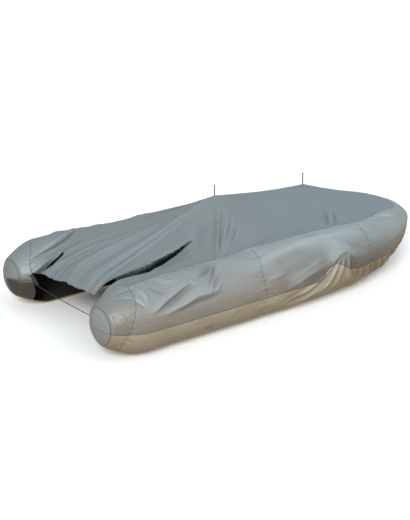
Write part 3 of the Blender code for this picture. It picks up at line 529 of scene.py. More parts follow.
def hem_angle(s):
    """The lower hem wanders a little."""
    return HEM_ANGLE + 0.6 * np.sin(s * 23.0) + 0.5 * np.sin(s * 9.1 + 1.0)


GATHERED_FROM = (1.9, 2.3)           # the band's hem draws it into gathers from here on
PANELS_FROM = (0.20, 0.30)           # the panels' own slack and gathers start here, beyond the socks
UNDER_FLAT = (146, 170)              # section angles over which the cloth goes flat under the tube
FOLD_GAIN = 1.5
FOLD_SHARPNESS = 1.6


def along_line(u, v, line, left, right, height):
    """Height of one fold along a line of points, with its own width to each side."""
    line = np.asarray(line, float)
    runs = np.diff(line, axis=0)
    lengths = np.hypot(runs[:, 0], runs[:, 1])
    before = np.concatenate([[0], np.cumsum(lengths)[:-1]])
    best = np.full(u.shape, 1e9)
    share = np.zeros(u.shape)
    side = np.zeros(u.shape)
    for start, run, length, done in zip(line, runs, lengths, before):
        du, dv = u - start[0], v - start[1]
        t = np.clip((du * run[0] + dv * run[1]) / length**2, 0, 1)
        away = np.hypot(du - t * run[0], dv - t * run[1])
        closer = away < best
        best = np.where(closer, away, best)
        share = np.where(closer, (done + t * length) / lengths.sum(), share)
        side = np.where(closer, run[0] * dv - run[1] * du, side)
    width = np.where(side < 0, left, right)
    taper = 0.25 + 0.75 * np.sin(np.pi * np.clip(share, 0, 1))**0.8
    return FOLD_GAIN * height * taper * np.exp(-(best / width)**FOLD_SHARPNESS)


def gathers(along, away, spacing, reach, height, seed):
    """Small folds that run away from a seam, at uneven places."""
    draw = np.random.default_rng(seed)
    out = np.zeros(along.shape)
    near = np.abs(away) < 2.5 * reach
    if not near.any():
        return out
    u, v = along[near], np.abs(away[near])
    total = np.zeros(u.shape)
    place = -0.1
    while place < 2 * HALF_ROUND + 0.1:
        width = spacing * draw.uniform(0.20, 0.42)
        deep = height * draw.uniform(0.35, 1.3) * draw.choice((-1.0, -1.0, 1.0))
        far = reach * draw.uniform(0.45, 1.35)
        slant = draw.uniform(-0.35, 0.35)
        close = np.abs(u - place) < 0.2
        if close.any():
            d = (u[close] - place - slant * v[close]) / (width * (1 + v[close] / reach * 0.6))
            total[close] += deep * np.exp(-d**2 - (v[close] / far)**2)
        place += spacing * draw.uniform(0.55, 1.6)
    out[near] = total
    return out


def soft_waves(s, arc, seed, length, height):
    """Slow uneven waves of slack cloth."""
    draw = np.random.default_rng(seed)
    out = np.zeros(s.shape)
    for _ in range(9):
        turn = draw.uniform(0, np.pi)
        pitch = length * draw.uniform(0.6, 1.6)
        out += np.sin((s * np.cos(turn) + arc * np.sin(turn)) * 2 * np.pi / pitch + draw.uniform(0, 6.28))
    return out * height / 3


def on_tube(line):
    """A line of s and section angles, with the angles as distances round the tube."""
    return [(s, np.radians(angle) * TUBE_RADIUS) for s, angle in line]


def cloth_lift(s, angle):
    """How far the cloth round the tubes stands off them: all its folds and gathers."""
    arc = np.radians(angle) * TUBE_RADIUS
    near = near_s(s)
    port = s > HALF_ROUND
    shifted = np.where(port, near / PORT_MIRROR, near)
    out = np.zeros(s.shape)
    for s0, a0, s1, a1, width, height in SOFT_FOLDS:
        line = on_tube(((s0, a0), (s1, a1)))
        out += 0.5 * along_line(shifted, arc, line, width, width, height)
    for line, left, right, height in FOLDS:
        fold = along_line(shifted, arc, on_tube(line), left, right, height)
        out += np.where(port, 0.0, fold) if line[0][0] < STARBOARD_ONLY else fold
    for line, left, right, height in PORT_FOLDS:
        out += np.where(port, along_line(near, arc, on_tube(line), left, right, height), 0.0)
    from_deck = arc - np.radians(deck_seam_angle(s)) * TUBE_RADIUS
    from_band = arc - np.radians(band_seam_angle(s)) * TUBE_RADIUS
    at_bow = ease(near, *GATHERED_FROM)
    body = ease(near, *PANELS_FROM)
    out += gathers(s, from_deck, 0.030, 0.028, 0.0022, 3) * body
    out += gathers(s, from_band, 0.036, 0.030, 0.0012, 5) * (1 - at_bow)
    out += gathers(s, from_band, 0.030, 0.150, 0.0085, 8) * at_bow * ease(from_band, -0.045, 0.015)
    across = arc + np.where(port, 3.0, 0.0)
    sock_seam = np.where(port, smooth(SOCK_SEAM, angle, 2), smooth(SOCK_SEAM, angle))
    for seam, spacing, reach, height, seed in ((sock_seam, 0.026, 0.034, 0.0026, 11),
                                               (smooth(SIDE_SEAM, angle), 0.024, 0.055, 0.0062, 14),
                                               (smooth(BOW_SEAM, angle), 0.026, 0.040, 0.0050, 17)):
        out += gathers(across, near - seam, spacing, reach, height, seed)
    out += soft_waves(s, arc, 21, 0.24, 0.0016) * body
    under = 1 - ease(angle, *UNDER_FLAT)
    tip = ease(near, 0.0, 0.03)
    return out * under * tip


def tube_point(s, angle, lift=0.0, folded=1.0):
    """Points of the cloth round the tubes, the directions that face out of it there, and its folds."""
    s, angle = np.broadcast_arrays(np.asarray(s, float), np.asarray(angle, float))
    x, y, out_x, out_y = middle_at(s)
    middle, up, down, out = section_at(x)
    turn = np.radians(angle)
    reach = np.where(np.cos(turn) > 0, up, down)
    folds = cloth_lift(s, angle) * folded
    lift = lift + folds
    face_out = np.sin(turn) / np.maximum(out, 0.004)
    face_up = np.cos(turn) / np.maximum(reach, 0.004)
    size = np.hypot(face_out, face_up)
    face_out, face_up = face_out / size, face_up / size
    tip = np.clip(1 - x / 0.12, 0, 1) * np.pi / 2
    sideways = out * np.sin(turn) + lift * face_out
    points = np.stack([x + sideways * out_x, y + sideways * out_y,
                       middle + reach * np.cos(turn) + lift * face_up], -1)
    normals = np.stack([face_out * out_x * np.cos(tip) - np.sin(tip),
                        face_out * out_y * np.cos(tip),
                        face_up * np.cos(tip)], -1)
    return points, normals / np.linalg.norm(normals, axis=-1, keepdims=True), folds


def seam_steps(length, step):
    """Distances from 0 to length, close together at both ends so that the sewn edge turns down."""
    edge = np.array([0.0, 0.0016, 0.004, 0.008])
    count = max(2, int(round((length - 2 * edge[-1]) / step)))
    inner = np.linspace(edge[-1], length - edge[-1], count + 1)
    return np.concatenate([edge[:-1], inner, (length - edge[::-1])[1:]])


def sewn_edge(distance, drop=0.0016, width=0.0045):
    """How far cloth is pulled in at a seam, by the distance from it."""
    return -drop * np.exp(-(distance / width)**2)


def cut_sheet(name, points, normals, folds, cloth_uv, seam_uv, finish, keep=None, painted_shade=0.0):
    """A sheet of cloth with its thickness, from a grid of outer points, their folds and their painted shade.
    """
    rows, columns = points.shape[:2]
    count = rows * columns
    vertices = np.concatenate([points.reshape(-1, 3), (points - normals * CLOTH_THICK).reshape(-1, 3)])
    vertices = vertices - (BOAT_SHIFT, 0, 0)
    index = np.arange(count).reshape(rows, columns)
    if keep is None:
        keep = np.ones((rows - 1, columns - 1), bool)
    a, b = index[:-1, :-1], index[:-1, 1:]
    d, c = index[1:, :-1], index[1:, 1:]
    quads = [np.stack([a, b, c, d], -1)[keep], np.stack([d, c, b, a], -1)[keep] + count]
    padded = np.pad(keep, 1)
    for beside, p, q in ((padded[:-2, 1:-1], a, b), (padded[1:-1, 2:], b, c),
                         (padded[2:, 1:-1], c, d), (padded[1:-1, :-2], d, a)):
        rim = keep & ~beside
        quads.append(np.stack([q[rim], p[rim], p[rim] + count, q[rim] + count], -1))
    quads = np.concatenate(quads)
    mesh = bpy.data.meshes.new(name)
    mesh.vertices.add(len(vertices))
    mesh.vertices.foreach_set("co", vertices.ravel())
    mesh.loops.add(quads.size)
    mesh.loops.foreach_set("vertex_index", quads.ravel())
    mesh.polygons.add(len(quads))
    mesh.polygons.foreach_set("loop_start", np.arange(0, quads.size, 4))
    facing_in = (quads >= count).all(1)
    mesh.polygons.foreach_set("material_index", facing_in.astype(int))
    mesh.update(calc_edges=True)
    fold_uv = np.stack(np.broadcast_arrays(folds, painted_shade), -1)
    for layer, values in (("cloth", cloth_uv), ("seams", seam_uv), ("folds", fold_uv)):
        flat = np.concatenate([values.reshape(-1, 2)] * 2)[quads.ravel()]
        mesh.uv_layers.new(name=layer).data.foreach_set("uv", flat.ravel())
    work = bmesh.new()
    work.from_mesh(mesh)
    bmesh.ops.remove_doubles(work, verts=work.verts, dist=2e-5)
    bmesh.ops.dissolve_degenerate(work, edges=work.edges, dist=1e-5)
    loose = [v for v in work.verts if not v.link_faces]
    bmesh.ops.delete(work, geom=loose, context="VERTS")
    bmesh.ops.recalc_face_normals(work, faces=work.faces)
    work.to_mesh(mesh)
    work.free()
    mesh.materials.append(finish)
    mesh.materials.append(CLOTH_BACK)
    mesh.shade_smooth()
    mesh.set_sharp_from_angle(angle=np.radians(60))
    sheet = bpy.data.objects.new(name, mesh)
    bpy.context.scene.collection.objects.link(sheet)
    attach(sheet, "root")
    return sheet


# Where the side cloth takes painted warm ground reflection low down, painted shade low and forward, and
# painted shade to port: the place where each starts or ends, then the run it takes
REFLECTION_TOP = (0.44, 0.17)
REFLECTION_PORT = (0.50, 0.30)
REFLECTION_AFT = (-1.515, 0.03)
LOW_SHADE_AFT = (-0.30, 0.45)
LOW_SHADE_FORE = (1.05, 0.35)
FAR_SIDE = (0.30, 0.25)
REFLECTION_SHARE, LOW_SHADE_SHARE, FAR_SHADE_SHARE = 0.88, 0.90, 0.36
LOW_SHADE_COLOUR = (0.100, 0.093, 0.085)
FAR_SHADE_COLOUR = (0.070, 0.084, 0.090)
STITCH_LENGTH = 0.0042
STITCH_FROM_SEAM = (0.0055, 0.0009)
SEAM_WIDTH = 0.0030
WEAVE = 0.0013


def after(value, start, run):
    """0 up to the start and 1 from a run beyond it."""
    return ((value - start) / run).clamped()


def before(value, end, run):
    """1 up to a run short of the end and 0 from the end on."""
    return ((end - value) / run).clamped()


def cloth_finish(name, colour, faded, roughness, seed, toward_bow, ground_reflection=None):
    """Satin coated polyester: plain weave, fine slack wrinkles, pressed seams with a row of stitches."""
    finish = Finish(name, roughness, 0.5)
    along, across = finish.across("cloth")
    from_end, from_edge = finish.across("seams")
    fold, shade_share = finish.across("folds")
    uv = finish.node("ShaderNodeUVMap", {"uv_map": "cloth"}, {})
    place = finish.place()
    patches = finish.noise(place, 2.3 + 0.2 * seed, 4.0)
    streaks = finish.noise(finish.stretched(uv, (3.0, 14.0, 1.0), 0.5), 1.6, 4.0)
    dust = finish.noise(place, 60.0, 5.0, 0.65)
    base = finish.mixed(patches * 0.9 + streaks * 0.3 - 0.15, colour, faded)
    base = finish.mixed(dust * 0.12, base, (0.50, 0.50, 0.48))
    forward, to_port, height = [finish.node("ShaderNodeSeparateXYZ", {}, {0: place}, axis)
                                for axis in range(3)]
    # towards the bow, and from a height up, the cloth turns to another colour: on the side and deck cloth a
    # lighter blue grey, painted sky light; on the band a darker taupe
    bow_colour, starts, ends, lowest = toward_bow
    bow_share = after(forward, starts, ends - starts) * after(height, lowest, 0.07)
    base = finish.mixed(bow_share, base, bow_colour)
    # painted reflection of the warm ground on the lower side cloth
    if ground_reflection:
        low = before(height, *REFLECTION_TOP) * before(to_port, *REFLECTION_PORT)
        low = low * (after(forward, *REFLECTION_AFT) * 0.85 + 0.15)
        base = finish.mixed(low * REFLECTION_SHARE, base, ground_reflection)
        # painted shade on the lower side cloth over a stretch of its forward part
        low_shade = after(forward, *LOW_SHADE_AFT) * before(forward, *LOW_SHADE_FORE)
        base = finish.mixed(low * low_shade * LOW_SHADE_SHARE, base, LOW_SHADE_COLOUR)
        # painted shade over the port side cloth
        base = finish.mixed(after(to_port, *FAR_SIDE) * FAR_SHADE_SHARE, base, FAR_SHADE_COLOUR)
    # painted highlight on raised folds and painted shade in sunk ones, by fold height
    base = finish.mixed((fold * FOLD_LIGHT_SCALE).clamped() * 0.34, base, tuple(min(1.0, 1.75 * c) for c in colour))
    base = finish.mixed((fold * -FOLD_LIGHT_SCALE).clamped() * 0.36, base, tuple(0.42 * c for c in colour))
    # painted shade: the second number of the folds layer darkens the cloth in deep folds, beside the slits
    # and on shaded sock parts
    base = finish.mixed(shade_share.clamped(), base, PAINTED_SHADE_COLOUR)
    seam = (from_edge.near(0.0, SEAM_WIDTH) + from_end.near(0.0, SEAM_WIDTH)).clamped()
    run = (from_edge.near(*STITCH_FROM_SEAM) * (along.wave(STITCH_LENGTH) * 2.0 + 0.8).clamped()
           + from_end.near(*STITCH_FROM_SEAM) * (across.wave(STITCH_LENGTH) * 2.0 + 0.8).clamped())
    stitches = run.clamped()
    base = finish.mixed(seam * 0.8, base, tuple(0.32 * c for c in colour))
    base = finish.mixed(stitches * 0.5, base, tuple(0.55 * c for c in colour))
    finish.colour(base)
    finish.rough(roughness - 0.05 + 0.12 * patches + 0.10 * seam)
    weave = along.wave(WEAVE) * across.wave(WEAVE)
    crease = finish.noise(finish.stretched(uv, (9.0, 26.0, 1.0), 0.35 + 0.2 * seed), 1.0, 5.0, 0.6)
    slack = finish.noise(finish.stretched(uv, (20.0, 11.0, 1.0), -0.6), 1.0, 3.0)
    broad = finish.bump(crease + 0.6 * slack, 0.006, 0.8)
    close = finish.bump(weave * 0.00002 + stitches * 0.0003 - seam * 0.0006, 1.0, 0.8, broad)
    finish.normal(close)
    return finish.material


def back_finish():
    """The back of the cloth: its own matt dark grey coating, made near black as painted shade so that the
    hollow inside the cover reads as shaded.
    """
    finish = Finish("cloth_back_finish", 0.7, 0.2)
    place = finish.place()
    mottle = finish.noise(place, 18.0, 4.0)
    finish.colour(finish.mixed(mottle, (0.030, 0.031, 0.032), (0.060, 0.060, 0.058)))
    finish.rough(0.62 + 0.2 * mottle)
    finish.normal(finish.bump(finish.noise(place, 420.0, 2.0), 0.0005))
    return finish.material


CLOTH_BACK = back_finish()
FOLD_LIGHT_SCALE = 70.0                        # a raised fold 1/70 m high takes the full painted highlight, a sunk one the full painted shade
# colour of the painted shade
PAINTED_SHADE_COLOUR = (0.012, 0.013, 0.014)
# its last colour is the painted reflection of warm ground on the lower side cloth
SIDE_CLOTH = cloth_finish("side_cloth_finish", (0.180, 0.206, 0.215), (0.196, 0.222, 0.231), 0.40, 1,
                          ((0.262, 0.304, 0.320), -0.75, 0.85, 0.35), (0.178, 0.156, 0.130))
SIDE_STEP = 0.0060
SIDE_DEPTH = 0.42                    # about how deep the panels and bands are, which sets their rows
BOW_DEPTH = 0.40
PANEL_RUNS = {"aft": (0.20, 1.20), "forward": (1.20, 2.20), "bow": (2.20, HALF_ROUND)}


def run_of(panel, angle, port=False):
    """Start and end distance of a panel from its own side's cone tip at each section angle."""
    if panel == "aft":
        return smooth(SOCK_SEAM, angle, 2 if port else 1), smooth(SIDE_SEAM, angle)
    if panel == "forward":
        return smooth(SIDE_SEAM, angle), smooth(BOW_SEAM, angle)
    return smooth(BOW_SEAM, angle), np.full(np.shape(angle), HALF_ROUND)


def sewn_panel(name, panel, top, bottom, depth, finish, lifted=None):
    """A panel round the tube between two lengthwise seams, starboard and port, or one round the bow."""
    start, end = PANEL_RUNS[panel]
    length = end - start
    along = seam_steps(length, SIDE_STEP) / length
    if panel == "bow":
        along = np.concatenate([along[:-4], np.linspace(along[-4], 1.0, 3)[1:]])
    first_gap = HALF_SEAM / length
    along = first_gap + along * (1 - first_gap * (1 if panel == "bow" else 2))
    down = HALF_SEAM / depth + seam_steps(depth, SIDE_STEP) / depth * (1 - 2 * HALF_SEAM / depth)
    nominal = start + length * along
    halves = []
    for port in (False, True):
        round_boat = 2 * HALF_ROUND - nominal if port else nominal
        upper, lower = top(round_boat), bottom(round_boat)
        angle = upper[:, None] + (lower - upper)[:, None] * down[None, :]
        width = np.radians(lower - upper)[:, None] * TUBE_RADIUS
        from_edge = np.minimum(down, 1 - down)[None, :] * width
        arc = np.radians(angle) * TUBE_RADIUS
        first, last = run_of(panel, angle, port)
        s = first + (last - first) * along[:, None]
        from_end = (last - first) * (along if panel == "bow" else np.minimum(along, 1 - along))[:, None]
        if port:
            s = 2 * HALF_ROUND - s
        lift = sewn_edge(from_edge) + sewn_edge(from_end)
        if lifted is not None:
            lift = lift + lifted(s) * (1 - down[None, :])**2
        halves.append((*tube_point(s, angle, lift), np.stack([s, arc], -1),
                       np.stack([from_end, from_edge], -1)))
    if panel == "bow":
        return [cut_sheet(name, *[np.concatenate([a, b[-2::-1]]) for a, b in zip(*halves)], finish)]
    return [cut_sheet(f"{name}_{side}", *half, finish) for side, half in zip(("starboard", "port"), halves)]


# Panel: flat width and length as cut and flat area, to starboard and to port, where the deck
# reaches further
SIDE_CUTS = {"side_aft": ("aft", ((0.48, 1.10), 0.42), ((0.44, 1.10), 0.36)),
             "side_forward": ("forward", ((0.50, 1.06), 0.46), ((0.38, 1.06), 0.33))}
for node, (panel, *cuts) in SIDE_CUTS.items():
    sheets = sewn_panel(node + "_cloth", panel, deck_seam_angle, band_seam_angle, SIDE_DEPTH,
                        SIDE_CLOTH, deck_seam_lift)
    for sheet, side, (flat, area) in zip(sheets, ("starboard", "port"), cuts):
        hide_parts(f"{node}_{side}")

# ---- Bow panel -----------------------------------------------------------------------------------
# One piece of the same cloth round the bow, pulled tight, with short folds where the deck's seam
# turns. Its mark is left off, so the cloth is bare there.
bow = sewn_panel("bow_panel_cloth", "bow", deck_seam_angle, band_seam_angle, BOW_DEPTH, SIDE_CLOTH,
                 deck_seam_lift)[0]
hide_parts("bow_panel")

# ---- Lower bands ---------------------------------------------------------------------------------
# A band of taupe cloth sewn below the side and bow panels; its taupe is partly the cloth's own colour and
# partly a painted reflection of warm ground. It tucks under the tubes, where its hem is drawn in, so it
# gathers round the bow.
BAND_CLOTH = cloth_finish("band_cloth_finish", (0.262, 0.228, 0.166), (0.284, 0.248, 0.184), 0.44, 2,
                          ((0.225, 0.192, 0.136), 0.00, 0.50, 0.02))
BAND_CUTS = {"band_aft": ("aft", (0.50, 1.12), 0.44), "band_forward": ("forward", (0.50, 1.08), 0.45)}
for node, (panel, flat, area) in BAND_CUTS.items():
    sheets = sewn_panel(node + "_cloth", panel, band_seam_angle, hem_angle, SIDE_DEPTH, BAND_CLOTH)
    for sheet, side in zip(sheets, ("starboard", "port")):
        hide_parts(f"{node}_{side}")
band_bow = sewn_panel("band_bow_cloth", "bow", band_seam_angle, hem_angle, BOW_DEPTH, BAND_CLOTH)[0]
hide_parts("band_bow")

# ---- Tail socks and nose pieces ------------------------------------------------------------------
# Each tail cone has a sock of two halves, sewn to the panels in front, and a small round nose piece
# of two halves. The upper halves are grey, the lower halves taupe as the bands.
SOCK_INNER_ANGLE = -88.0
NOSE_SEAM = 0.036
NOSE_TIP = 0.000002
SOCK_STEP = 0.0052
PAINTED_SOCK_SHADE = {"starboard": 0.13, "port": 0.0}   # the starboard sock is darkened a little all over: painted shade
# The port tail end is darkened underneath with painted shade: how much, and the angles between which it
# comes and goes
PAINTED_FAR_SOCK_SHADE = (0.88, (120.0, 215.0), (262.0, 290.0))

sock_top = float(band_seam_angle(np.array(0.20)))
SOCK_HALVES = {
    "upper": (SOCK_INNER_ANGLE, sock_top, SIDE_CLOTH, "side_cloth"),
    "lower": (sock_top, 360 + SOCK_INNER_ANGLE, BAND_CLOTH, "band_cloth"),
}
# Piece: flat width and length as cut, flat area, for the upper and the lower half
SOCK_CUTS = {"sock": {"upper": ((0.28, 0.46), 0.085), "lower": ((0.20, 0.40), 0.048)},
             "nose": {"upper": ((0.10, 0.32), 0.024), "lower": ((0.10, 0.32), 0.023)}}
for half, (first_angle, last_angle, half_cloth, half_slot) in SOCK_HALVES.items():
    depth = np.radians(last_angle - first_angle) * TUBE_RADIUS
    turn = first_angle + (last_angle - first_angle) * seam_steps(depth, SOCK_STEP) / depth
    seam_turn = np.where(turn > 240, turn - 360, turn)
    sock_share = seam_steps(0.16, SOCK_STEP) / 0.16
    nose_share = np.linspace(0, 1, 13)**2
    nose_s = np.repeat((NOSE_TIP + (NOSE_SEAM - HALF_SEAM - NOSE_TIP) * nose_share)[:, None], len(turn), 1)
    for side in ("starboard", "port"):
        seam = smooth(SOCK_SEAM, seam_turn, 2 if side == "port" else 1)
        sock_s = NOSE_SEAM + HALF_SEAM + (seam[None, :] - NOSE_SEAM - 2 * HALF_SEAM) * sock_share[:, None]
        for piece, run in (("sock", sock_s), ("nose", nose_s)):
            angle = np.repeat(turn[None, :], len(run), 0)
            section = section_at(run)[3]
            gap = np.degrees(HALF_SEAM / section)
            angle[:, 0] += gap[:, 0]
            angle[:, -1] -= gap[:, -1]
            around = np.radians(angle) * section
            from_edge = np.minimum(around - around[:, :1], around[:, -1:] - around)
            from_end = np.minimum(run - run[:1], run[-1:] - run) if piece == "sock" else run[-1:] - run
            place = run if side == "starboard" else 2 * HALF_ROUND - run
            shape = tube_point(place, angle, sewn_edge(from_edge) + sewn_edge(from_end))
            if piece == "nose":
                cloth, slot = SIDE_CLOTH, "side_cloth"
            else:
                cloth, slot = half_cloth, half_slot
            # painted shade on the socks: a little over the starboard one, strongly under the port one
            painted_shade = PAINTED_SOCK_SHADE[side] if piece == "sock" else 0.0
            if side == "port":
                worst, comes, goes = PAINTED_FAR_SOCK_SHADE
                painted_shade = worst * ease(angle % 360, *comes) * (1 - ease(angle % 360, *goes))
            sheet = cut_sheet(f"{piece}_{half}_{side}_cloth", *shape, np.stack([run, around], -1),
                              np.stack([from_end, from_edge], -1), cloth, None, painted_shade)
            flat, area = SOCK_CUTS[piece][half]
            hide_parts(f"{piece}_{half}_{side}")

# ---- Deck panel ----------------------------------------------------------------------------------
# One large piece of the grey cloth from tube to tube, drawn up like a tent over the two poles and
# sewn to the side panels. Aft it hangs over the transom as a hemmed flap, free of the socks.
POLE_AFT = (1.366, 0.692)
POLE_FORE = (2.213, 0.637)
RIDGE = ((0.15, 0.302), (0.19, 0.352), (0.25, 0.412), (0.40, 0.452), (0.80, 0.540), (1.15, 0.630),
         (1.345, 0.6855), (1.366, 0.692), (1.395, 0.6885), (1.60, 0.664), (1.85, 0.640), (2.05, 0.629),
         (2.19, 0.6350), (2.213, 0.637), (2.237, 0.6305), (2.45, 0.562),
         (2.70, 0.494), (2.95, 0.428), (3.06, 0.392))
# Edge of the raised middle aft: x, half width and height to starboard, then to port
RAISED_EDGE = ((0.13, 0.290, 0.272, 0.322, 0.270), (0.177, 0.290, 0.304, 0.326, 0.302),
               (0.228, 0.288, 0.340, 0.334, 0.338), (0.289, 0.288, 0.370, 0.345, 0.362),
               (0.35, 0.290, 0.385, 0.365, 0.394),
               (0.50, 0.290, 0.408, 0.430, 0.430), (0.60, 0.290, 0.425, 0.480, 0.446),
               (0.70, 0.290, 0.448, 0.510, 0.449), (0.80, 0.285, 0.466, 0.530, 0.449),
               (0.90, 0.270, 0.492, 0.530, 0.449), (0.98, 0.262, 0.508, 0.530, 0.449))
# Where it turns to the full width, starboard and port: start, length
RAISED_END = ((0.40, 0.16), (0.46, 0.40))
PORT_CREST = 0.530                   # to port the cloth rests on the tube from here out
OFF_TUBES = (1.95, 2.30)             # the deck leaves the tubes' tops between here
# A roll of slack beside the deep fold: from the middle, half width, height
NEAR_ROLL = (0.440, 0.050, 0.024)
# The deep fold beside it to starboard: x, distance of its lip and of its near side from the middle, depth
DEEP_FOLD = ((0.17, 0.292, 0.380, 0.000), (0.20, 0.290, 0.400, 0.030), (0.25, 0.288, 0.425, 0.062),
             (0.32, 0.290, 0.440, 0.088), (0.45, 0.290, 0.440, 0.104), (0.52, 0.290, 0.425, 0.110),
             (0.585, 0.290, 0.405, 0.110),
             (0.685, 0.288, 0.365, 0.105), (0.787, 0.280, 0.328, 0.085), (0.86, 0.272, 0.300, 0.055),
             (0.93, 0.264, 0.276, 0.018), (0.98, 0.262, 0.270, 0.000))
DEEP_FOLD_TUCK = 0.120               # its inboard side is drawn in under the lip
VALLEY_ROUND = (0.012, 0.050, 0.014)
EDGE_STEEPNESS = 1.9
PORT_HOLLOW = 1.0
TENT_HOLLOW = 1.28
RIDGE_ROUND = 0.10
SLIT_END = 2 / 13                    # the slits beside the flap end here, as a part of the aft panel's run
# Painted shade beside the slits: share of the half width, spread, how much, x where it ends
PAINTED_SLIT_SHADE = ((-0.632, 0.018, 0.95, 0.34), (0.672, 0.022, 0.90, 0.30))
PAINTED_LIP_SHADE = (0.13, 0.85, 0.42, 0.62)  # painted shade along the deep fold's lip: spread, how much, x where it fades
FLAP_HALF = (0.285, 0.322)
FLAP_HEM = ((-0.285, 0.177), (-0.168, 0.166), (-0.010, 0.151), (0.132, 0.127), (0.322, 0.131))   # y, x
AFT_BLEND = (0.10, 0.42)             # the columns keep the hem's places this far, then take their own
STRIP_ANGLE = (-68.0, -76.0)         # the strips over the tubes reach down to here, starboard and port
VALLEY_SHARE = (0.655, 0.640)
SEAM_FOLLOW = 0.035                  # how far in from the seam the deck follows the side panels' folds
STRIP_REACH = (0.078, 0.045)         # their hems leave the socks' seams and run forward to the slits
STRIP_DRAWN = 0.14                   # over this length they come down to the tube at their aft edge
DECK_STEP = 0.0066
DECK_ROW_STEPS = {"aft": 0.0090, "forward": 0.0140, "bow": 0.0160}

# The fan of straight folds from the flap's hem towards the aft pole: y at the hem, x and y of the far
# end, half width to port and to starboard, height
FAN_FOLDS = (
    (-0.251, 1.12, -0.046, 0.013, 0.015, 0.0085), (-0.172, 1.30, 0.006, 0.030, 0.026, 0.0105),
    (-0.140, 0.75, -0.080, 0.007, 0.006, 0.0040), (-0.006, 0.90, 0.034, 0.040, 0.034, 0.0100),
    (0.243, 0.76, 0.088, 0.030, 0.036, 0.0090), (0.372, 0.88, 0.190, 0.034, 0.036, 0.0070),
    (-0.211, 1.02, -0.055, 0.007, 0.008, -0.0050), (-0.274, 0.72, -0.145, 0.006, 0.007, -0.0036),
    (-0.078, 0.92, -0.022, 0.014, 0.012, -0.0046), (-0.112, 0.60, -0.070, 0.005, 0.006, -0.0030),
    (-0.012, 0.44, -0.006, 0.006, 0.006, -0.0036), (0.066, 0.66, 0.048, 0.006, 0.007, -0.0034),
    (0.124, 0.80, 0.056, 0.012, 0.013, -0.0052), (0.190, 0.52, 0.140, 0.005, 0.006, -0.0034),
    (0.328, 0.66, 0.158, 0.013, 0.013, -0.0070), (0.150, 1.05, 0.040, 0.010, 0.012, 0.0034),
)
FAN_START = 0.08                     # the folds run off the hem; x of their lines' near ends
# Folds of the deck: a line of (x, y) points, half width to its left and right as it runs, height
DECK_FOLDS = (
    # the near side of the deep fold sags
    (((0.560, -0.430), (0.700, -0.385), (0.800, -0.348), (0.900, -0.300)), 0.040, 0.040, -0.016),
    # the roll of cloth along the starboard valley, and the creased end of the valley
    (((0.210, -0.300), (0.456, -0.288), (0.619, -0.283), (0.809, -0.245), (0.936, -0.224)),
     0.020, 0.016, 0.007),
    (((0.925, -0.215), (0.954, -0.264)), 0.012, 0.014, 0.007),
    (((0.980, -0.350), (0.827, -0.372), (0.706, -0.350)), 0.010, 0.010, 0.004),
    (((1.158, -0.120), (1.021, -0.186), (0.959, -0.239)), 0.030, 0.026, 0.007),
    (((1.178, -0.132), (1.048, -0.243), (0.946, -0.374)), 0.022, 0.030, -0.007),
    # pleats that drop from the aft pole
    (((1.330, -0.060), (1.240, -0.165), (1.116, -0.316), (0.981, -0.482)), 0.014, 0.016, -0.009),
    (((1.350, -0.085), (1.292, -0.145), (1.136, -0.325), (1.008, -0.480)), 0.011, 0.012, 0.018),
    (((1.358, -0.094), (1.246, -0.212), (1.071, -0.422), (1.030, -0.470)), 0.009, 0.010, -0.012),
    (((1.380, -0.135), (1.288, -0.231), (1.134, -0.384), (1.039, -0.479)), 0.012, 0.014, 0.016),
    (((1.385, -0.165), (1.260, -0.285), (1.120, -0.415)), 0.008, 0.008, -0.008),
    (((1.404, -0.166), (1.288, -0.280), (1.159, -0.395), (1.082, -0.469)), 0.016, 0.016, 0.012),
    (((1.330, -0.280), (1.215, -0.385), (1.110, -0.462)), 0.010, 0.011, -0.008),
    (((1.410, -0.240), (1.276, -0.349), (1.133, -0.448)), 0.014, 0.016, 0.013),
    (((1.350, -0.330), (1.240, -0.412), (1.160, -0.455)), 0.010, 0.010, -0.007),
    (((1.450, -0.270), (1.330, -0.358), (1.182, -0.442)), 0.016, 0.018, 0.009),
    (((1.500, -0.305), (1.344, -0.406), (1.237, -0.438)), 0.018, 0.020, 0.008),
    (((1.602, -0.430), (1.491, -0.444), (1.352, -0.462)), 0.020, 0.014, -0.006),
    # soft hangs near the bow
    (((2.205, -0.262), (2.128, -0.350), (2.060, -0.442)), 0.015, 0.013, -0.014),
    (((2.235, -0.268), (2.160, -0.366), (2.095, -0.440)), 0.011, 0.012, 0.014),
    (((2.262, -0.285), (2.200, -0.368), (2.150, -0.425)), 0.009, 0.011, -0.010),
    (((2.275, -0.300), (2.222, -0.372), (2.178, -0.422)), 0.010, 0.012, 0.010),
    (((2.280, -0.345), (2.225, -0.420)), 0.010, 0.010, 0.008),
    (((1.856, -0.397), (1.770, -0.438), (1.728, -0.469)), 0.020, 0.016, -0.007),
    # the flap's port corner and slit, and the strip over the port tube
    (((0.160, 0.300), (0.202, 0.266), (0.280, 0.140)), 0.018, 0.026, 0.012),
    (((0.200, 0.315), (0.232, 0.290), (0.275, 0.250)), 0.010, 0.010, -0.012),
    (((0.172, 0.045), (0.214, 0.008)), 0.009, 0.009, -0.005),
    (((0.220, 0.392), (0.300, 0.395), (0.380, 0.420)), 0.012, 0.012, -0.010),
    (((0.240, 0.418), (0.340, 0.424)), 0.012, 0.012, 0.006),
    (((0.300, 0.350), (0.420, 0.372), (0.560, 0.400)), 0.010, 0.016, -0.008),
    (((0.160, -0.300), (0.210, -0.292), (0.300, -0.285)), 0.010, 0.014, 0.008),
)
# The port side's pleats below the aft pole, as shares of the starboard ones: along, across, height
PORT_PLEATS = (1.03, 0.94, 0.8)

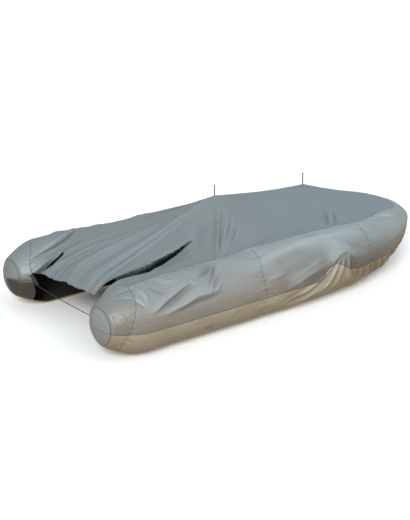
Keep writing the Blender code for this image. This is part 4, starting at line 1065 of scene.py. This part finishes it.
# The fine rays between the fan's folds: seed, bearings from the pole, width and bend in degrees, height
FAN_SEED = 61
FAN_SPAN = (-24.0, 34.0, 2.3)
FAN_RAY_WIDTH = 0.70
FAN_RAY_HEIGHT = 0.0030
DECK_GAIN = 0.62


def soft_max(a, b, radius):
    return 0.5 * (a + b + np.sqrt((a - b)**2 + radius**2))


def tent(y, width, height, ridge, rounding, hollow):
    """Height across a tent from its ridge to its edge at width, and on steeply down beyond it."""
    share = np.abs(y) / np.maximum(width, 1e-4)
    share = (np.sqrt(share**2 + rounding**2) - rounding) / (np.sqrt(1 + rounding**2) - rounding)
    inner = height + (ridge - height) * np.abs(1 - share)**hollow
    return np.where(share < 1, inner, height - EDGE_STEEPNESS * (np.abs(y) - width))


def across_fold(x, y):
    """Place across the starboard deep fold, from 0 at its lip to 1 at its near side."""
    lip, near_side = smooth(DEEP_FOLD, x, 1), smooth(DEEP_FOLD, x, 2)
    return (-y - lip) / (near_side - lip)


def deck_height(x, y, half_width, seam_height):
    """Height of the deck's outer face without its small folds."""
    port = y > 0
    ridge = smooth(RIDGE, x)
    width = np.where(port, smooth(RAISED_EDGE, x, 3), smooth(RAISED_EDGE, x, 1))
    height = np.where(port, smooth(RAISED_EDGE, x, 4), smooth(RAISED_EDGE, x, 2))
    middle, up, _, out = section_at(x)

    def tube_top(from_middle):
        inboard = np.clip(np.abs(from_middle - TUBE_OFFSET) / out, 0, 0.97)
        return middle + up * np.sqrt(1 - inboard**2)

    beside, half, rise = NEAR_ROLL
    roll = rise * np.exp(-((-y - beside) / half)**2) * ease(x, 0.10, 0.20) * (1 - ease(x, 0.50, 0.66))
    tube = tube_top(np.abs(y)) + np.where(port, smooth(DECK_SEAM, x, 4), roll)
    wrap = np.where(port, 1 - ease(x, *OFF_TUBES), 0.0)
    rest_width = half_width + (np.minimum(half_width, PORT_CREST) - half_width) * wrap
    rest_height = seam_height + (tube_top(rest_width) - seam_height) * wrap
    full = np.where(port, *[ease(x, start, start + length) for start, length in reversed(RAISED_END)])
    from_pole = np.minimum(abs(x - POLE_AFT[0]), abs(x - POLE_FORE[0]))
    rounding = RIDGE_ROUND * (1 - np.exp(-(from_pole / 0.12)**2)) + 1e-6
    hollow = np.where(port, PORT_HOLLOW + (TENT_HOLLOW - PORT_HOLLOW) * ease(x, 1.40, 1.70), TENT_HOLLOW)
    raised = tent(y, width + (rest_width - width) * full, height + (rest_height - height) * full,
                  ridge, rounding, hollow)
    narrow = tent(y, width, height, ridge, rounding, 1.0)
    inside = np.where(port, 0.0, (1 - ease(across_fold(x, y), 0, 1)) * (1 - ease(x, 0.86, 0.98)))
    raised = raised + (narrow - raised) * inside
    starboard_round, stern_round, port_round = VALLEY_ROUND
    radius = np.where(port, stern_round + (port_round - stern_round) * ease(x, 0.45, 0.80), starboard_round)
    joined = soft_max(raised, tube, radius)
    return joined + (raised - joined) * ease(x, *OFF_TUBES)


def deep_fold(x, y):
    """The starboard deep fold: how far it draws the cloth down, and in under its lip."""
    depth = smooth(DEEP_FOLD, x, 3)
    across = across_fold(x, y)
    down = depth * np.clip(1 - (2 * across - 1)**2, 0, 1)**0.7
    tucked = DEEP_FOLD_TUCK * (depth / 0.10) * np.sin(np.pi * np.clip(across / 0.8, 0, 1))
    return down, tucked


def deck_fold(x, y):
    """All the deck's folds, starboard as listed and the pole's pleats again to port."""
    out = np.zeros(x.shape)
    for hem_y, end_x, end_y, left, right, height in FAN_FOLDS:
        slope = (end_y - hem_y) / (end_x - FLAP_HEM[0][1])
        line = ((FAN_START, hem_y + slope * (FAN_START - FLAP_HEM[0][1])), (end_x, end_y))
        narrowing = 0.45 + 0.55 * np.clip((POLE_AFT[0] - x) / (POLE_AFT[0] - FAN_START), 0, 1)
        out += along_line(x, y, line, left * narrowing, right * narrowing, height) / DECK_GAIN
    for line, left, right, height in DECK_FOLDS:
        out += along_line(x, y, line, left, right, height)
        if line[0][0] > 1.1 and line[0][1] < 0:
            far, wide, low = PORT_PLEATS
            mirrored = [(px * far - 0.03, -py * wide) for px, py in line]
            out += along_line(x, y, mirrored, right, left, height * low)
    reach = np.hypot(x - POLE_AFT[0], y)
    bearing = np.degrees(np.arctan2(y, POLE_AFT[0] - x))
    rays = np.zeros(x.shape)
    draw = np.random.default_rng(FAN_SEED)
    for place in np.arange(*FAN_SPAN):
        wide = draw.uniform(0.5, 1.5) * FAN_RAY_WIDTH
        high = draw.uniform(-1.0, 1.0) * FAN_RAY_HEIGHT
        begins, ends = draw.uniform(0.05, 0.5), draw.uniform(0.6, 1.3)
        off = bearing - place - draw.uniform(-1.2, 1.2)
        rays += high * np.exp(-np.abs(off / wide)**1.5) * ease(reach, begins, begins + 0.25) * (
            1 - ease(reach, ends, ends + 0.15))
    aft = ease(x, 1.36, 1.20)
    return out * DECK_GAIN + rays * aft + soft_waves(x, y, 33, 0.40, 0.0012)


def deck_edge(port, folded=1.0):
    """The deck's edge on one side from the sock seam to the bow: points, outward normals, nominal run."""
    points, normals, reached = [], [], []
    inside = np.degrees(2 * HALF_SEAM / TUBE_RADIUS)
    for panel, (start, end) in PANEL_RUNS.items():
        length = end - start
        along = np.linspace(0, 1, int(length / DECK_ROW_STEPS[panel]) + 1)
        nominal = start + length * along
        angle = deck_seam_angle(2 * HALF_ROUND - nominal if port else nominal)
        first, last = run_of(panel, angle, port)
        s = first + (last - first) * along
        if port:
            s = 2 * HALF_ROUND - s
        p, n, _ = tube_point(s, angle - inside, deck_seam_lift(s) + sewn_edge(np.zeros(s.shape)), folded)
        skip = 1 if points else 0
        points.append(p[skip:])
        normals.append(n[skip:])
        reached.append(nominal[skip:])
    return np.concatenate(points), np.concatenate(normals), np.concatenate(reached)


def grid_normals(points):
    """Outward normals of a grid of points whose rows run forward and whose columns run to port."""
    normals = np.cross(np.gradient(points, axis=0), np.gradient(points, axis=1))
    return normals / np.maximum(np.linalg.norm(normals, axis=-1, keepdims=True), 1e-12)


def spread(first, last, step, width):
    """Even places between two shares of the half width."""
    return np.linspace(first, last, int(round(abs(last - first) * width / step)) + 1)


edges = [deck_edge(False), deck_edge(True)]
plain_edges = [deck_edge(False, 0.0)[0], deck_edge(True, 0.0)[0]]
edge_run = edges[0][2]
strip = spread(-1, -VALLEY_SHARE[0], DECK_STEP, TUBE_OFFSET)
strip = np.concatenate([[-1.0, -0.9965, -0.991], strip[1:]])
valley = spread(-VALLEY_SHARE[0], -VALLEY_SHARE[1], DECK_STEP, TUBE_OFFSET)[1:]
middle_share = spread(-VALLEY_SHARE[1], VALLEY_SHARE[1], DECK_STEP, TUBE_OFFSET)[1:]
share = np.concatenate([strip, valley, middle_share, -valley[-2::-1], -strip[::-1]])
to_port = share[None, :] > 0
half_width = np.where(to_port, plain_edges[1][:, 1:2], -plain_edges[0][:, 1:2])
seam_height = np.where(to_port, plain_edges[1][:, 2:], plain_edges[0][:, 2:])
edge_x = plain_edges[0][:, :1] + (plain_edges[1][:, :1] - plain_edges[0][:, :1]) * (share[None, :] + 1) / 2

# The aft edge: along the sock seams over the tubes, and the flap's free hem between them
strip_share = (strip + 1) / (1 - VALLEY_SHARE[0])
aft = []
for port in (False, True):
    top_angle = DECK_SEAM[0][3 if port else 1]
    strip_angle = top_angle + (STRIP_ANGLE[port] - top_angle) * strip_share
    strip_run = 2 * HALF_SEAM + STRIP_REACH[port] * np.clip((strip_share - 0.84) / 0.16, 0, 1)
    strip_s = smooth(SOCK_SEAM, strip_angle, 2 if port else 1) + strip_run
    aft.append(tube_point(2 * HALF_ROUND - strip_s if port else strip_s, strip_angle, sewn_edge(0.0)))
inner = np.abs(share) < VALLEY_SHARE[0] - 1e-6
flap_half = np.where(share[inner] > 0, FLAP_HALF[1], FLAP_HALF[0])
flap_y = flap_half * share[inner] / VALLEY_SHARE[1]
flap_x = smooth(FLAP_HEM, flap_y)
first = np.zeros((len(share), 2))
first[:len(strip)] = aft[0][0][:, :2]
first[-len(strip):] = aft[1][0][::-1, :2]
first[inner] = np.stack([flap_x, flap_y], -1)

settle = ease(edge_run[:, None] - edge_run[0], *AFT_BLEND)
y = half_width * share[None, :]
y = y + (first[:, 1] * half_width / half_width[0] - y) * (1 - settle)
x = edge_x + (first[:, 0] - edge_x[0])[None, :] * (1 - settle)
z = deck_height(x, y, half_width, seam_height)
signed_half = np.where(to_port, half_width, -half_width)
at_edge = deck_height(edge_x, signed_half, half_width, seam_height)
reach_out = np.abs(y) / np.maximum(half_width, 1e-6)
near_edge = np.clip((reach_out - 0.8) / 0.2, 0, 1)**2
from_edge = half_width - np.abs(y)
z = z + (seam_height - at_edge) * near_edge
folds = (deck_fold(x, y) * (1 - np.clip((reach_out - 0.93) / 0.07, 0, 1)**2)
         * ease(edge_run, 3.05, 2.75)[:, None])
folds = folds + gathers(np.where(y > 0, 6.0 - x, x), from_edge, 0.032, 0.030, 0.0030, 41) * (1 - near_edge)
down, tucked = deep_fold(x, y)
z = z + folds - down
drawn = np.zeros(len(share))
drawn[:len(strip)] = aft[0][0][:, 2] - z[0, :len(strip)]
drawn[-len(strip):] = aft[1][0][::-1, 2] - z[0, -len(strip):]
z = z + drawn[None, :] * (1 - ease(edge_run[:, None] - edge_run[0], 0, STRIP_DRAWN)) * (1 - near_edge)
y = y + tucked
follow = np.exp(-(from_edge / SEAM_FOLLOW)**2)[:, :, None]
slack = np.where(to_port[:, :, None], (edges[1][0] - plain_edges[1])[:, None],
                 (edges[0][0] - plain_edges[0])[:, None])
deck_points = np.stack([x, y, z], -1) + slack * follow
deck_points[0, :len(strip), 2] = aft[0][0][:, 2]
deck_points[0, -len(strip):, 2] = aft[1][0][::-1, 2]
deck_points[:, 0] = edges[0][0]
deck_points[:, -1] = edges[1][0]
deck_points[-1] = edges[0][0][-1]
deck_normals = grid_normals(deck_points)
deck_normals[0, :len(strip)] = aft[0][1]
deck_normals[0, -len(strip):] = aft[1][1][::-1]
deck_normals[:, 0] = edges[0][1]
deck_normals[:, -1] = edges[1][1]
deck_normals[-1] = edges[0][1][-1]
cell_share = 0.5 * (share[1:] + share[:-1])
in_valley = (np.abs(cell_share) > VALLEY_SHARE[1]) & (np.abs(cell_share) < VALLEY_SHARE[0])
in_slit = edge_run[1:] < PANEL_RUNS["aft"][0] + SLIT_END + 1e-6
deck_keep = ~(in_slit[:, None] & in_valley[None, :])
from_hem = np.broadcast_to((edge_run - edge_run[0])[:, None], x.shape)
deck_uv = np.stack([x, y], -1)
deck_seams = np.stack([from_hem, from_edge], -1)

# painted shade in the deep fold, beside the slits and under the fold's lip
deck_painted_shade = np.clip(down / 0.035, 0, 0.9)
for place, spread_out, much, reach in PAINTED_SLIT_SHADE:
    beside = much * np.exp(-((share[None, :] - place) / spread_out)**2) * (1 - ease(x, reach - 0.08, reach))
    deck_painted_shade = np.maximum(deck_painted_shade, beside)
spread_out, much, starts, ends = PAINTED_LIP_SHADE
lip_shade = much * np.exp(-((across_fold(x, y) - 0.02) / spread_out)**2)
deck_painted_shade = np.maximum(deck_painted_shade, lip_shade * (1 - ease(x, starts, ends)) * (y < 0))
DECK_CLOTH = cloth_finish("deck_cloth_finish", (0.124, 0.148, 0.158), (0.138, 0.162, 0.173), 0.41, 0,
                          ((0.142, 0.182, 0.204), -0.30, 1.00, 0.10))
deck = cut_sheet("deck_panel_cloth", deck_points, deck_normals, folds, deck_uv, deck_seams, DECK_CLOTH,
                 deck_keep, deck_painted_shade)
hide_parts("deck_panel")

# ---- Support poles -------------------------------------------------------------------------------
# Two thin dark-lacquered tubes on round feet. A shoulder carries the cloth and the tip stands
# out through it.


def pole_finish():
    """Dark lacquer on metal, rubbed a little along its length."""
    finish = Finish("pole_finish", 0.38, 0.5)
    place = finish.place()
    rubbed = finish.noise(finish.stretched(place, (60.0, 60.0, 6.0)), 1.0, 4.0)
    finish.colour(finish.mixed(rubbed, (0.060, 0.052, 0.047), (0.115, 0.100, 0.090)))
    finish.rough(0.30 + 0.25 * rubbed)
    finish.normal(finish.bump(rubbed, 0.0004))
    return finish.material


POLE_LACQUER = pole_finish()
for pole in ("pole_aft", "pole_fore"):
    frame["nodes"][pole].material_slots[0].material = POLE_LACQUER
